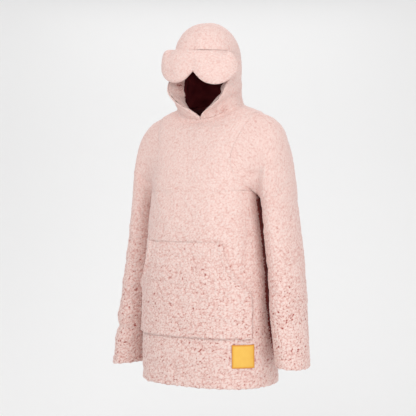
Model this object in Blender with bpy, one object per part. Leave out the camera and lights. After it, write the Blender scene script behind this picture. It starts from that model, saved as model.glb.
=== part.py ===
"""Long sherpa-fleece hoodie with an eye-mask flap, in its worn hollow shape.

The front faces -Y, +Z is up and the wearer's left is +X. The origin is the middle
of the neck at the base of the hood. Every piece is a wall of cloth between an outer
and an inner grid of points, read from one garment surface and one sleeve surface.
"""
import math

import bmesh
import bpy
import numpy as np

# Thickness of the cloth and the gap left at every seam, in metres
FLEECE = 0.004
FACING = 0.003
LINING = 0.0015
LABEL = 0.0012
SEAM_GAP = 0.0003
LAYER_GAP = 0.0005

# Rings of the garment from hem to neck. side_z is the ring's height at the sides,
# width its half width, front and back its depths from mid_y, square_front and
# square_back the exponents of its outline, dip how far its front sinks, rise how
# far its back climbs, turn how far it faces to the wearer's left, in degrees.
RING_COLUMNS = (
    "side_z", "width", "front", "back", "mid_y", "square_front", "square_back", "dip", "rise",
    "turn")
BODY_RINGS = (
    (-0.812, 0.205, 0.150, 0.152, -0.022, 2.5, 2.4, 0.000, 0.000, 0.0),
    (-0.700, 0.206, 0.152, 0.148, -0.022, 2.5, 2.4, 0.000, 0.000, 0.0),
    (-0.560, 0.199, 0.153, 0.138, -0.023, 2.5, 2.4, 0.000, 0.000, 0.0),
    (-0.420, 0.185, 0.152, 0.130, -0.024, 2.6, 2.5, 0.000, 0.000, 0.0),
    (-0.320, 0.175, 0.149, 0.126, -0.024, 2.6, 2.5, 0.000, 0.000, 0.0),
    (-0.250, 0.170, 0.143, 0.124, -0.021, 2.6, 2.5, 0.004, 0.002, 0.0),
    (-0.180, 0.174, 0.132, 0.121, -0.017, 2.6, 2.5, 0.012, 0.005, 0.0),
    (-0.120, 0.177, 0.119, 0.116, -0.013, 2.6, 2.5, 0.024, 0.008, 0.0),
    (-0.062, 0.176, 0.104, 0.109, -0.011, 2.6, 2.4, 0.036, 0.011, 0.0),
    (-0.022, 0.161, 0.087, 0.101, -0.012, 2.5, 2.3, 0.043, 0.014, 0.0),
    (-0.010, 0.133, 0.073, 0.094, -0.017, 2.5, 2.3, 0.045, 0.016, 0.0),
    (0.003, 0.104, 0.055, 0.087, -0.025, 2.5, 2.3, 0.043, 0.016, 0.0),
)
# Rings of the hood above the neck, with the same columns
HOOD_RINGS = (
    (0.022, 0.100, 0.060, 0.104, -0.042, 2.8, 2.3, 0.036, 0.013, 2.0),
    (0.044, 0.102, 0.074, 0.125, -0.067, 3.4, 2.3, 0.025, 0.010, 5.0),
    (0.070, 0.101, 0.085, 0.128, -0.069, 3.4, 2.3, 0.014, 0.006, 8.0),
    (0.100, 0.098, 0.095, 0.125, -0.062, 3.1, 2.3, 0.006, 0.003, 10.0),
    (0.130, 0.095, 0.101, 0.117, -0.054, 2.7, 2.3, 0.000, 0.000, 10.0),
    (0.160, 0.091, 0.104, 0.107, -0.048, 2.4, 2.3, 0.000, 0.000, 10.0),
    (0.187, 0.085, 0.094, 0.096, -0.050, 2.2, 2.2, 0.000, 0.000, 10.0),
    (0.211, 0.072, 0.077, 0.077, -0.052, 2.1, 2.1, 0.000, 0.000, 10.0),
    (0.229, 0.053, 0.055, 0.055, -0.053, 2.0, 2.0, 0.000, 0.000, 10.0),
    (0.240, 0.030, 0.027, 0.030, -0.053, 2.0, 2.0, 0.000, 0.000, 10.0),
    (0.244, 0.000, 0.000, 0.000, -0.053, 2.0, 2.0, 0.000, 0.000, 10.0),
)
NECK_ROW = len(BODY_RINGS) - 1

# Armholes: heights of the armpit and the shoulder point, and the part of a
# quarter ring that each side of the hole takes
ARMPIT_Z = -0.250
SHOULDER_Z = -0.022
ARMHOLE_FRONT = 1.12
ARMHOLE_BACK = 1.18
ARMHOLE_STEPS = 10

# Sections of a sleeve: its top and its underarm point in the XZ plane, the middle
# and half of its depth along Y. The first row is the armhole.
SLEEVE_COLUMNS = ("top_x", "top_z", "under_x", "under_z", "mid_y", "depth")
SLEEVE_SECTIONS = (
    (0.161, -0.022, 0.170, -0.250, -0.010, 0.080),
    (0.202, -0.040, 0.178, -0.268, -0.010, 0.078),
    (0.231, -0.072, 0.184, -0.284, -0.009, 0.080),
    (0.248, -0.128, 0.188, -0.302, -0.008, 0.082),
    (0.259, -0.200, 0.191, -0.330, -0.007, 0.082),
    (0.270, -0.300, 0.194, -0.375, -0.007, 0.081),
    (0.286, -0.400, 0.200, -0.435, -0.008, 0.079),
    (0.301, -0.510, 0.210, -0.520, -0.015, 0.076),
    (0.313, -0.620, 0.221, -0.620, -0.025, 0.072),
    (0.323, -0.700, 0.233, -0.697, -0.033, 0.066),
    (0.328, -0.752, 0.243, -0.747, -0.038, 0.063),
)
# Rings between two sections above the bend, the section where the bend ends, and
# how many sections the armhole's own outline takes to fade into the sleeve's
SLEEVE_STEPS = 2
SLEEVE_BEND = 5
ARMHOLE_FADE = 2.5
# The wearer's right cuff hangs lower than the left one
CUFF_DROP = {"left": 0.0, "right": 0.030}

# Face opening: how far forward its rim lies, by the ring's height at the sides.
# The opening starts at the neck and closes under the brim. The columns are the
# height at the sides and the rim's Y before the hood is turned.
BRIM_Z = 0.152
# The opening starts as a V and has its full width this far up the hood's side
V_LENGTH = 0.027
RIM = (
    (0.003, -0.0800),
    (0.008, -0.0845),
    (0.014, -0.0909),
    (0.022, -0.0994),
    (0.032, -0.1080),
    (0.044, -0.1185),
    (0.057, -0.1200),
    (0.070, -0.1130),
    (0.085, -0.1070),
    (0.100, -0.1060),
    (0.125, -0.1160),
    (0.142, -0.1360),
    (0.152, -0.1500),
)

# Kangaroo pocket: its columns are the height and the half width along the cloth
POCKET = (
    (-0.668, 0.211),
    (-0.600, 0.212),
    (-0.545, 0.212),
    (-0.532, 0.200),
    (-0.517, 0.182),
    (-0.495, 0.162),
    (-0.465, 0.144),
    (-0.430, 0.131),
    (-0.397, 0.124),
)
# What lies on the front panel stands this far off it, and its folded edges further
POCKET_GAP = 0.0009
POCKET_FOLD = 0.0008

# Label on the wearer's left front
LABEL_SIZE = 0.066
LABEL_MID_Z = -0.717
LABEL_MID_ALONG = 0.185
LABEL_CELLS = 3
LABEL_COLUMNS = 5

# Eye-mask flap: half outline from the middle to its end. The columns are x, the
# heights of the top and the bottom edge, and the Y of the middle of its thickness.
MASK = (
    (0.000, 0.151, 0.0900, -0.1570),
    (0.010, 0.151, 0.0800, -0.1570),
    (0.022, 0.151, 0.0680, -0.1565),
    (0.040, 0.152, 0.0585, -0.1545),
    (0.060, 0.153, 0.0555, -0.1500),
    (0.080, 0.156, 0.0590, -0.1430),
    (0.097, 0.154, 0.0690, -0.1345),
    (0.109, 0.145, 0.0820, -0.1245),
    (0.117, 0.127, 0.0970, -0.1140),
)
# The flap's lean in its own plane and the hood's turn, in degrees, and its padding
# in front of and behind its middle, its gap to the brim and half its edge
MASK_TILT = 4.5
HOOD_TURN = 10.0
MASK_FRONT = 0.013
MASK_BACK = 0.003
MASK_SEAM = 0.0020
MASK_EDGE_HALF = 0.002
# Parts of the half width at which the top edge stops following the hood's curve and
# at which it starts to come off the hood, and how soon the flap falls from its seam
MASK_SEAM_REACH = 0.88
MASK_FREE_END = 0.68
MASK_FALL = 6
MASK_ROWS = 8
# How far forward the flap's free bottom edge swings
MASK_SWING = 0.006

# Rows of the panels below and above the armhole, columns of half a panel, and rows
# of the hood below and above the brim
BODY_ROWS_BELOW = 9
BODY_ROWS_ABOVE = 4
HALF_COLUMNS = 7
HOOD_ROWS_BELOW = 8
HOOD_ROWS_ABOVE = 5

# Width of the facing behind the face opening, in columns of the hood
FACING_COLUMNS = 3
# The facing turns in towards the middle of the hood. The columns are the ring's height
# at the sides, and how far in and how far back its inner edge stands off the hood's
# side; the shares are the part of that at each column from the rim round to the back
FACING_REACH = (
    (0.003, 0.018, 0.008),
    (0.014, 0.024, 0.006),
    (0.022, 0.029, -0.002),
    (0.032, 0.032, 0.000),
    (0.044, 0.034, -0.006),
    (0.057, 0.032, -0.006),
    (0.070, 0.029, -0.004),
    (0.100, 0.022, -0.002),
    (0.130, 0.014, 0.000),
    (0.160, 0.007, 0.000),
    (0.187, 0.000, 0.000),
)
REACH_SHARES = (0.0, 0.33, 0.67, 1.0, 0.88, 0.66, 0.40, 0.18, 0.05)
# How much of the last step to the crown the facing and the lining take, so that they
# don't meet there
CROWN_REACH = 0.90

# Steps at which curves are read and slopes are taken, and what counts as nothing
FINE_STEPS = 2000
LEVEL_STEP = 0.004
ANGLE_STEP = 0.02
SMALL = 1e-6

MIRROR = {"left": np.array([1.0, 1.0, 1.0]), "right": np.array([-1.0, 1.0, 1.0])}

PINK = (0.87, 0.62, 0.58)
MAROON = (0.025, 0.003, 0.006)
YELLOW = (0.85, 0.56, 0.11)


def hermite(knots, values, at):
    """Smooth curve through the rows of values at the knots, read at the places at."""
    knots = np.asarray(knots, float)
    values = np.asarray(values, float)
    slope = np.gradient(values, knots, axis=0)
    at = np.clip(np.asarray(at, float), knots[0], knots[-1])
    cell = np.clip(np.searchsorted(knots, at, side="right") - 1, 0, len(knots) - 2)
    span = knots[cell + 1] - knots[cell]
    u = (at - knots[cell]) / span
    if values.ndim > 1:
        span = span[..., None]
        u = u[..., None]
    start = (1 + 2 * u) * (1 - u) ** 2 * values[cell]
    end = u ** 2 * (3 - 2 * u) * values[cell + 1]
    start_turn = u * (1 - u) ** 2 * span * slope[cell]
    end_turn = u ** 2 * (u - 1) * span * slope[cell + 1]
    return start + end + start_turn + end_turn


RINGS = np.array(BODY_RINGS + HOOD_RINGS)
STEPS = np.hypot(np.diff(RINGS[:, 0]), np.diff(RINGS[:, 1]))
LEVELS = np.concatenate([[0.0], np.cumsum(STEPS)])
NECK = LEVELS[NECK_ROW]
CROWN = LEVELS[-1]


def level_at(side_z):
    """Level, measured along the side line, of the ring at a height of the sides."""
    fine = np.linspace(0.0, CROWN, FINE_STEPS)
    heights = hermite(LEVELS, RINGS[:, 0], fine)
    return float(np.interp(side_z, heights, fine))


ARMPIT = level_at(ARMPIT_Z)
SHOULDER = level_at(SHOULDER_Z)
BRIM = level_at(BRIM_Z)


def turned(points, degrees):
    """Points turned about the neck's axis, towards the wearer's left."""
    turn = np.radians(degrees)
    x, y, z = np.moveaxis(points, -1, 0)
    return np.stack([
        x * np.cos(turn) - y * np.sin(turn), x * np.sin(turn) + y * np.cos(turn), z], axis=-1)


def straight_ring(angle, level):
    """Point of the garment's outer surface before its turn, and the turn."""
    angle, level = np.broadcast_arrays(np.asarray(angle, float), np.asarray(level, float))
    ring = dict(zip(RING_COLUMNS, np.moveaxis(hermite(LEVELS, RINGS, level), -1, 0)))
    cosine = np.cos(angle)
    sine = np.sin(angle)
    is_front = sine < 0
    power = 2.0 / np.where(is_front, ring["square_front"], ring["square_back"])
    depth = np.where(is_front, ring["front"], ring["back"])
    x = ring["width"] * np.sign(cosine) * np.abs(cosine) ** power
    y = ring["mid_y"] + depth * np.sign(sine) * np.abs(sine) ** power
    lift = np.where(is_front, -ring["dip"], ring["rise"]) * sine ** 2
    return np.stack([x, y, ring["side_z"] + lift], axis=-1), ring["turn"]


def garment(angle, level):
    """Point of the garment's outer surface: 0 is the wearer's left side, -90 degrees
    the front, 90 the back. Each ring is a rounded box of its own exponents."""
    points, turn = straight_ring(angle, level)
    return turned(points, turn)


def garment_normal(angle, level):
    """Unit normal of the garment's surface, pointing out."""
    angle, level = np.broadcast_arrays(np.asarray(angle, float), np.asarray(level, float))
    lower = np.clip(level - LEVEL_STEP, 0.0, CROWN - 2 * LEVEL_STEP)
    upper = np.clip(level + LEVEL_STEP, 2 * LEVEL_STEP, CROWN)
    around = garment(angle + ANGLE_STEP, level) - garment(angle - ANGLE_STEP, level)
    along = garment(angle, upper) - garment(angle, lower)
    normal = np.cross(around, along)
    length = np.linalg.norm(normal, axis=-1, keepdims=True)
    flat = np.array([0.0, 0.0, 1.0])
    return np.where(length > SMALL ** 2, normal / np.maximum(length, SMALL ** 2), flat)


def even_angles(level, start, end, count):
    """Angles from start to end that cut a ring into stretches of equal length."""
    fine = np.linspace(start, end, FINE_STEPS)
    points = garment(fine, np.full(fine.shape, level))
    run = np.concatenate([[0.0], np.cumsum(np.linalg.norm(np.diff(points, axis=0), axis=1))])
    if run[-1] < SMALL:
        return np.linspace(start, end, count + 1)
    return np.interp(np.linspace(0.0, run[-1], count + 1), run, fine)


def seam_shift(line, inward, side):
    """Moves a seam's points off the seam by half the gap, square to the cloth."""
    tangent = np.gradient(line, axis=0)
    across = np.cross(tangent, inward)
    across /= np.maximum(np.linalg.norm(across, axis=-1, keepdims=True), SMALL ** 2)
    towards = np.sign(np.sum(across * side, axis=-1, keepdims=True))
    return across * towards * SEAM_GAP / 2


def neck_seam():
    """Left half of the neck seam from the front's middle to the back's: its points,
    the direction of the cloth's thickness and the shift of each towards the hood."""
    front = even_angles(NECK, -math.pi / 2, 0.0, HALF_COLUMNS)
    back = even_angles(NECK, 0.0, math.pi / 2, HALF_COLUMNS)
    angles = np.concatenate([front, back[1:]])
    line = garment(angles, NECK)
    inward = -garment_normal(angles, NECK)
    inward[[0, -1], 0] = 0.0
    whole = np.concatenate([line[1:2] * MIRROR["right"], line, line[-2:-1] * MIRROR["right"]])
    tangent = whole[2:] - whole[:-2]
    gap = np.cross(tangent, inward)
    gap /= np.linalg.norm(gap, axis=-1, keepdims=True)
    gap *= np.sign(gap[:, 2:]) * SEAM_GAP / 2
    return angles, inward, gap


def body_levels():
    """Levels of the panels' rows, with the armhole's rows spaced as on an ellipse."""
    below = np.linspace(0.0, ARMPIT, BODY_ROWS_BELOW + 1)
    turn = np.linspace(0.0, math.pi, ARMHOLE_STEPS + 1)
    hole = ARMPIT + (SHOULDER - ARMPIT) * (1 - np.cos(turn)) / 2
    above = np.linspace(SHOULDER, NECK, BODY_ROWS_ABOVE + 1)
    return np.concatenate([below[:-1], hole, above[1:]])


def armhole_angle(level, is_front):
    """Angle of the armhole's edge on a ring, none below the armpit or above the shoulder."""
    middle = (ARMPIT + SHOULDER) / 2
    half = (SHOULDER - ARMPIT) / 2
    inside = np.clip(1 - ((level - middle) / half) ** 2, 0.0, 1.0)
    reach = ARMHOLE_FRONT if is_front else ARMHOLE_BACK
    return math.pi / 4 * reach * math.sqrt(inside)


def armhole_loop():
    """Points of the left armhole: armpit, up the front edge, shoulder, down the back edge."""
    levels = body_levels()[BODY_ROWS_BELOW:BODY_ROWS_BELOW + ARMHOLE_STEPS + 1]
    front = np.array([-armhole_angle(level, True) for level in levels])
    back = np.array([armhole_angle(level, False) for level in levels])
    angles = np.concatenate([front, back[-2:0:-1]])
    heights = np.concatenate([levels, levels[-2:0:-1]])
    return garment(angles, heights), -garment_normal(angles, heights)


def sleeve_rings():
    """Rings of the left sleeve. Ring 0 is the armhole; each later ring is an ellipse
    between its top and its underarm point."""
    rows = np.array(SLEEVE_SECTIONS)
    places = np.concatenate([
        np.linspace(0, SLEEVE_BEND, SLEEVE_BEND * SLEEVE_STEPS + 1),
        np.arange(SLEEVE_BEND + 1, len(rows)),
    ])
    table = hermite(np.arange(len(rows)), rows, places)
    turn = np.linspace(0.0, 2 * math.pi, 2 * ARMHOLE_STEPS, endpoint=False)
    rings = []
    for row in table:
        section = dict(zip(SLEEVE_COLUMNS, row))
        top = np.array([section["top_x"], section["mid_y"], section["top_z"]])
        under = np.array([section["under_x"], section["mid_y"], section["under_z"]])
        reach = (top - under) / 2
        middle = (top + under) / 2
        ring = middle - np.cos(turn)[:, None] * reach
        ring[:, 1] -= section["depth"] * np.sin(turn)
        rings.append(ring)
    rings = np.array(rings)
    loop, _ = armhole_loop()
    fade = np.clip(1 - places / ARMHOLE_FADE, 0.0, 1.0)[:, None, None] ** 2
    rings += fade * (loop - rings[0])
    return rings


def tube_normals(rings):
    """Unit normals of a tube's rings, pointing out of the tube."""
    around = np.roll(rings, -1, axis=1) - np.roll(rings, 1, axis=1)
    along = np.gradient(rings, axis=0)
    normal = np.cross(along, around)
    normal /= np.linalg.norm(normal, axis=-1, keepdims=True)
    outward = rings - rings.mean(axis=1, keepdims=True)
    side = np.sign(np.sum(normal * outward, axis=(1, 2), keepdims=True))
    return normal * side


def armhole_inward():
    """Direction that the cloth's thickness takes all round the armhole seam, halfway
    between the panel's and the sleeve's own."""
    rings = sleeve_rings()
    _, panel = armhole_loop()
    sleeve = -tube_normals(rings)[0]
    both = panel + sleeve
    return both / np.linalg.norm(both, axis=-1, keepdims=True)


def closed_gradient(loop):
    """Tangents of a closed loop of points."""
    return np.roll(loop, -1, axis=0) - np.roll(loop, 1, axis=0)


def armhole_gap():
    """Shift of the armhole's points from the seam towards the sleeve."""
    loop, _ = armhole_loop()
    inward = armhole_inward()
    across = np.cross(closed_gradient(loop), inward)
    across /= np.linalg.norm(across, axis=-1, keepdims=True)
    side = sleeve_rings()[1] - loop
    towards = np.sign(np.sum(across * side, axis=-1, keepdims=True))
    towards[0] = np.sign(across[0, 0])
    return across * towards * SEAM_GAP / 2


def make_material(name, colour, roughness):
    material = bpy.data.materials.new(name)
    material.use_nodes = True
    shader = material.node_tree.nodes["Principled BSDF"]
    shader.inputs["Base Color"].default_value = (*colour, 1.0)
    shader.inputs["Roughness"].default_value = roughness
    shader.inputs["Metallic"].default_value = 0.0
    return material


def rim_faces(outer, inner, points, closed):
    """Triangles between two edges of points. Each cell is cut from its lower outer
    point, so that both pieces at a seam are cut alike."""
    faces = []
    count = len(outer)
    for k in range(count if closed else count - 1):
        n = (k + 1) % count
        if points[outer[k]][2] <= points[outer[n]][2]:
            faces.append((outer[k], outer[n], inner[n]))
            faces.append((outer[k], inner[n], inner[k]))
        else:
            faces.append((outer[k], outer[n], inner[k]))
            faces.append((outer[n], inner[n], inner[k]))
    return faces


def cloth(name, outer, inner, colour, closed=False, roughness=0.95):
    """Closed wall of cloth between an outer and an inner grid of points. Each cell is
    cut from its lower front corner, so layers that lie on each other are cut alike."""
    rows, columns = outer.shape[:2]
    points = np.concatenate([outer.reshape(-1, 3), inner.reshape(-1, 3)])
    index = np.arange(rows * columns).reshape(rows, columns)
    under = index + rows * columns
    faces = []
    wide = columns if closed else columns - 1
    for i in range(rows - 1):
        for j in range(wide):
            k = (j + 1) % columns
            a, b, c, d = (i, j), (i, k), (i + 1, k), (i + 1, j)
            if outer[a][1] > outer[b][1]:
                a, b, c, d = b, a, d, c
            for grid in (index, under):
                faces.append((grid[a], grid[b], grid[c]))
                faces.append((grid[a], grid[c], grid[d]))
    faces += rim_faces(index[0], under[0], points, closed)
    faces += rim_faces(index[-1], under[-1], points, closed)
    if not closed:
        faces += rim_faces(index[:, 0], under[:, 0], points, False)
        faces += rim_faces(index[:, -1], under[:, -1], points, False)
    mesh = bpy.data.meshes.new(name)
    mesh.from_pydata(points.tolist(), [], [tuple(int(v) for v in face) for face in faces])
    shape = bmesh.new()
    shape.from_mesh(mesh)
    bmesh.ops.remove_doubles(shape, verts=shape.verts, dist=SMALL)
    bmesh.ops.dissolve_degenerate(shape, edges=shape.edges, dist=SMALL)
    bmesh.ops.recalc_face_normals(shape, faces=shape.faces)
    shape.to_mesh(mesh)
    shape.free()
    mesh.materials.append(make_material(name, colour, roughness))
    mesh.shade_smooth()
    piece = bpy.data.objects.new(name, mesh)
    bpy.data.collections["hoodie"].objects.link(piece)
    return piece


def make_panel(name, is_front):
    """Front or back panel, from the right side seam to the left one."""
    levels = body_levels()
    quarter = -math.pi / 2 if is_front else math.pi / 2
    angles = []
    for level in levels:
        edge = armhole_angle(level, is_front)
        edge = -edge if is_front else edge
        left = even_angles(level, quarter, edge, HALF_COLUMNS)
        right = 2 * quarter - left
        angles.append(np.concatenate([right[::-1], left[1:]]))
    angles = np.array(angles)
    heights = np.repeat(levels[:, None], angles.shape[1], axis=1)
    outer = garment(angles, heights)
    inward = -garment_normal(angles, heights)

    hole = slice(BODY_ROWS_BELOW, BODY_ROWS_BELOW + ARMHOLE_STEPS + 1)
    turn = slice(0, ARMHOLE_STEPS + 1)
    around = armhole_inward()
    gap = -armhole_gap()
    if not is_front:
        around = np.roll(around[::-1], 1, axis=0)
        gap = np.roll(gap[::-1], 1, axis=0)
    shift = np.zeros_like(outer)
    towards_middle = np.array([0.0, -1.0 if is_front else 1.0, 0.0])
    sides = seam_shift(outer[:, -1], inward[:, -1], towards_middle)
    shift[:, -1] = sides
    shift[hole, -1] = gap[turn]
    shift[hole.start, -1] += sides[hole.start - 1]
    shift[hole.stop - 1, -1] += sides[hole.stop]
    inward[hole, -1] = around[turn]
    _, neck_inward, neck_gap = neck_seam()
    half = slice(0, HALF_COLUMNS + 1) if is_front else slice(HALF_COLUMNS, None)
    step = 1 if is_front else -1
    left_half = slice(HALF_COLUMNS, None)
    shift[-1, left_half] -= neck_gap[half][::step]
    inward[-1, left_half] = neck_inward[half][::step]
    shift[:, :HALF_COLUMNS] = shift[:, :HALF_COLUMNS:-1] * MIRROR["right"]
    inward[:, :HALF_COLUMNS] = inward[:, :HALF_COLUMNS:-1] * MIRROR["right"]
    outer = outer + shift
    return cloth(name, outer, outer + FLEECE * inward, PINK)


def make_sleeve(side):
    """One sleeve, from the armhole seam to the cuff."""
    rings = sleeve_rings()
    inward = -tube_normals(rings)
    inward[0] = armhole_inward()
    rings[0] += armhole_gap()
    drop = CUFF_DROP[side]
    length = ARMPIT_Z - SLEEVE_SECTIONS[-1][SLEEVE_COLUMNS.index("under_z")]
    below = np.clip((ARMPIT_Z - rings[..., 2]) / length, 0.0, None)
    below[0] = 0.0
    rings[..., 2] -= drop * below
    rings = rings * MIRROR[side]
    inward = inward * MIRROR[side]
    return cloth("sleeve_" + side, rings, rings + FLEECE * inward, PINK, closed=True)


def rim_angle(level):
    """Angle of the face opening's rim on a ring of the hood."""
    if level >= BRIM:
        return -math.pi / 2
    rows = np.array(RIM)
    knots = np.array([level_at(z) for z in rows[:, 0]])
    rim_y = float(hermite(knots, rows[:, 1], level))
    fine = np.linspace(-math.pi / 2, math.pi / 2, FINE_STEPS)
    y = straight_ring(fine, np.full(fine.shape, level))[0][:, 1]
    full = float(np.interp(max(rim_y, y[0]), y, fine))
    opened = min(max((level - NECK) / V_LENGTH, 0.0), 1.0)
    return (full + math.pi / 2) * opened - math.pi / 2


def hood_angles(level):
    """Angles of a hood half's row, from the rim round to the centre back."""
    if level <= NECK + SMALL:
        return neck_seam()[0]
    return even_angles(level, rim_angle(level), math.pi / 2, 2 * HALF_COLUMNS)


def hood_levels():
    """Levels of the hood's rows, from the neck seam past the brim to the crown."""
    below = np.linspace(NECK, BRIM, HOOD_ROWS_BELOW + 1)
    above = np.linspace(BRIM, CROWN, HOOD_ROWS_ABOVE + 1)
    return np.concatenate([below, above[1:]])


def hood_grid(side):
    """Outer points of one half of the hood, the direction of its thickness, the way
    along the rows and the rows that are closed in front."""
    levels = hood_levels()
    angles = np.array([hood_angles(level) for level in levels])
    closed = np.abs(angles[:, 0] + math.pi / 2) < SMALL
    if side == "right":
        angles = math.pi - angles
    heights = np.repeat(levels[:, None], angles.shape[1], axis=1)
    outer = garment(angles, heights)
    inward = -garment_normal(angles, heights)
    inward[0] = neck_seam()[1] * MIRROR[side]
    inward[-1] = (0.0, 0.0, -1.0)
    step = ANGLE_STEP * MIRROR[side][0]
    along = garment(angles + step, heights) - garment(angles - step, heights)
    along /= np.maximum(np.linalg.norm(along, axis=-1, keepdims=True), SMALL ** 2)
    along[-1] = turned(np.array([MIRROR[side][0], 0.0, 0.0]), HOOD_TURN)
    return outer, inward, along, closed


def make_hood_half(side):
    """One half of the hood, from the neck seam to the crown."""
    outer, inward, along, closed = hood_grid(side)
    shift = np.zeros_like(outer)
    shift[0] = neck_seam()[2] * MIRROR[side]
    shift[:, -1] -= along[:, -1] * SEAM_GAP / 2
    shift[closed, 0] += along[closed, 0] * SEAM_GAP / 2
    shift[-1] = along[-1] * SEAM_GAP / 2
    outer = outer + shift
    return cloth("hood_" + side, outer, outer + FLEECE * inward, PINK)


def beside_seam(grid, way):
    """Column of a grid at the seam between facing and lining, moved a gap's width towards
    its next column one way or the other, as the two cloths meet there at an angle."""
    seam = grid[:, FACING_COLUMNS]
    aside = grid[:, FACING_COLUMNS + way] - seam
    aside /= np.linalg.norm(aside, axis=-1, keepdims=True)
    return (seam + aside * SEAM_GAP)[:, None]


def layer_inside(side, thickness):
    """Both faces of a layer of cloth on the inner side of a whole half of the hood."""
    outer, inward, along, closed = hood_grid(side)
    outer[closed, 0] += along[closed, 0] * SEAM_GAP / 2
    outer[-1] = outer[-2] + CROWN_REACH * (outer[-1] - outer[-2])
    inward[-1] = inward[-2] + CROWN_REACH * (inward[-1] - inward[-2])
    near = outer + (FLEECE + LAYER_GAP) * inward
    table = np.array(FACING_REACH)
    reach = hermite([level_at(z) for z in table[:, 0]], table[:, 1:], hood_levels())
    towards = np.array([-MIRROR[side][0], 1.0, 0.0])
    move = turned(np.pad(reach, ((0, 0), (0, 1))) * towards, HOOD_TURN)
    shares = np.zeros(outer.shape[1])
    shares[:len(REACH_SHARES)] = REACH_SHARES
    near += shares[None, :, None] * move[:, None]
    return near, near + thickness * inward


def make_facing(side):
    """Fleece that lines the front of the hood, from the rim to the dark lining."""
    front, back = [
        np.concatenate([grid[:, :FACING_COLUMNS], beside_seam(grid, -1)], axis=1)
        for grid in layer_inside(side, FACING)
    ]
    return cloth("hood_facing_" + side, front, back, PINK)


def make_lining():
    """Dark lining of the back of the hood, in one piece across its centre back."""
    halves = []
    for side in ("left", "right"):
        halves.append([
            np.concatenate([beside_seam(grid, 1), grid[:, FACING_COLUMNS + 1:]], axis=1)
            for grid in layer_inside(side, LINING)
        ])
    left, right = halves
    front, back = [
        np.concatenate([one, other[:, -2::-1]], axis=1) for one, other in zip(left, right)]
    return cloth("hood_lining", front, back, MAROON)


def front_row(height):
    """Points and normals of the front panel's left half at a height, middle to side."""
    level = level_at(height)
    angles = even_angles(level, -math.pi / 2, 0.0, HALF_COLUMNS)
    levels = np.full(angles.shape, level)
    return garment(angles, levels), garment_normal(angles, levels)


def on_front(height, along, offset):
    """Points on the front panel's facets at a height and at distances along the cloth
    from its middle, moved out by offset."""
    points, normals = front_row(height)
    cell = np.linalg.norm(points[1] - points[0])
    place = np.abs(along) / cell
    column = np.arange(len(points))
    found = np.stack([np.interp(place, column, points[:, k]) for k in range(3)], axis=-1)
    normal = np.stack([np.interp(place, column, normals[:, k]) for k in range(3)], axis=-1)
    found = found + offset * normal
    found[:, 0] *= np.where(np.asarray(along) < 0, -1.0, 1.0)
    return found


def column_places(height, start, end):
    """Distances from start to end along the cloth, with one at each panel column."""
    points, _ = front_row(height)
    cell = np.linalg.norm(points[1] - points[0])
    whole = np.arange(-HALF_COLUMNS, HALF_COLUMNS + 1) * cell
    return np.clip(whole, start, end)


def make_pocket():
    """Kangaroo pocket lying on the front panel, its top corners cut by the hand
    openings."""
    outer = []
    inner = []
    for height, half_width in POCKET:
        along = column_places(height, -half_width, half_width)[1:-1]
        gap = POCKET_GAP + POCKET_FOLD * (np.abs(along) > half_width - SMALL)
        inner.append(on_front(height, along, gap[:, None]))
        outer.append(on_front(height, along, gap[:, None] + FLEECE))
    return cloth("pocket", np.array(outer), np.array(inner), PINK)


def make_label():
    """Square woven label on the front panel."""
    heights = LABEL_MID_Z + LABEL_SIZE * (np.linspace(0, 1, LABEL_CELLS + 1) - 0.5)
    start = LABEL_MID_ALONG - LABEL_SIZE / 2
    end = LABEL_MID_ALONG + LABEL_SIZE / 2
    outer = []
    inner = []
    for height in heights:
        along = column_places(height, start, end)[-LABEL_COLUMNS:]
        inner.append(on_front(height, along, POCKET_GAP))
        outer.append(on_front(height, along, POCKET_GAP + LABEL))
    return cloth("label", np.array(outer), np.array(inner), YELLOW, roughness=0.6)


def brim_y(x, height):
    """How far forward the hood's front lies at a distance from its middle."""
    level = level_at(height)
    fine = np.linspace(-math.pi / 2, 0.0, FINE_STEPS)
    points = straight_ring(fine, np.full(fine.shape, level))[0]
    reach = MASK_SEAM_REACH * points[-1, 0]
    return float(np.interp(min(abs(x), reach), points[:, 0], points[:, 1]))


def make_mask():
    """Padded eye-mask flap, two round lobes and a nose notch, hung from the brim. Its
    top edge follows the hood, and it hangs free below."""
    half = np.array(MASK)
    left = half[:0:-1] * np.array([-1.0, 1.0, 1.0, 1.0])
    outline = np.concatenate([left, half])
    x, top_z, bottom_z, mid_y = outline.T
    slope = x * math.tan(math.radians(MASK_TILT))
    top_z = top_z - slope
    bottom_z = bottom_z - slope
    sewn = MASK_EDGE_HALF + MASK_SEAM
    top_y = np.array([brim_y(a, b) for a, b in zip(x, top_z)]) - sewn
    end = np.abs(x) / MASK[-1][0]
    hold = np.clip((1 - end) / (1 - MASK_FREE_END), 0.0, 1.0)
    top_y = mid_y + (top_y - mid_y) * hold
    front = []
    back = []
    for part in np.linspace(0.0, 1.0, MASK_ROWS + 1):
        z = top_z + (bottom_z - top_z) * part
        y = mid_y + (top_y - mid_y) * (1 - part) ** MASK_FALL - MASK_SWING * part
        crown = np.sqrt(np.clip(1 - (2 * part - 1) ** 4, 0, 1))
        crown = crown * np.sqrt(np.clip(1 - end ** 4, 0, 1))
        ahead = MASK_EDGE_HALF + (MASK_FRONT - MASK_EDGE_HALF) * crown
        behind = MASK_EDGE_HALF + (MASK_BACK - MASK_EDGE_HALF) * crown
        front.append(np.stack([x, y - ahead, z], axis=-1))
        back.append(np.stack([x, y + behind, z], axis=-1))
    front = turned(np.array(front), HOOD_TURN)
    back = turned(np.array(back), HOOD_TURN)
    return cloth("eye_mask_flap", front, back, PINK)


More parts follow.
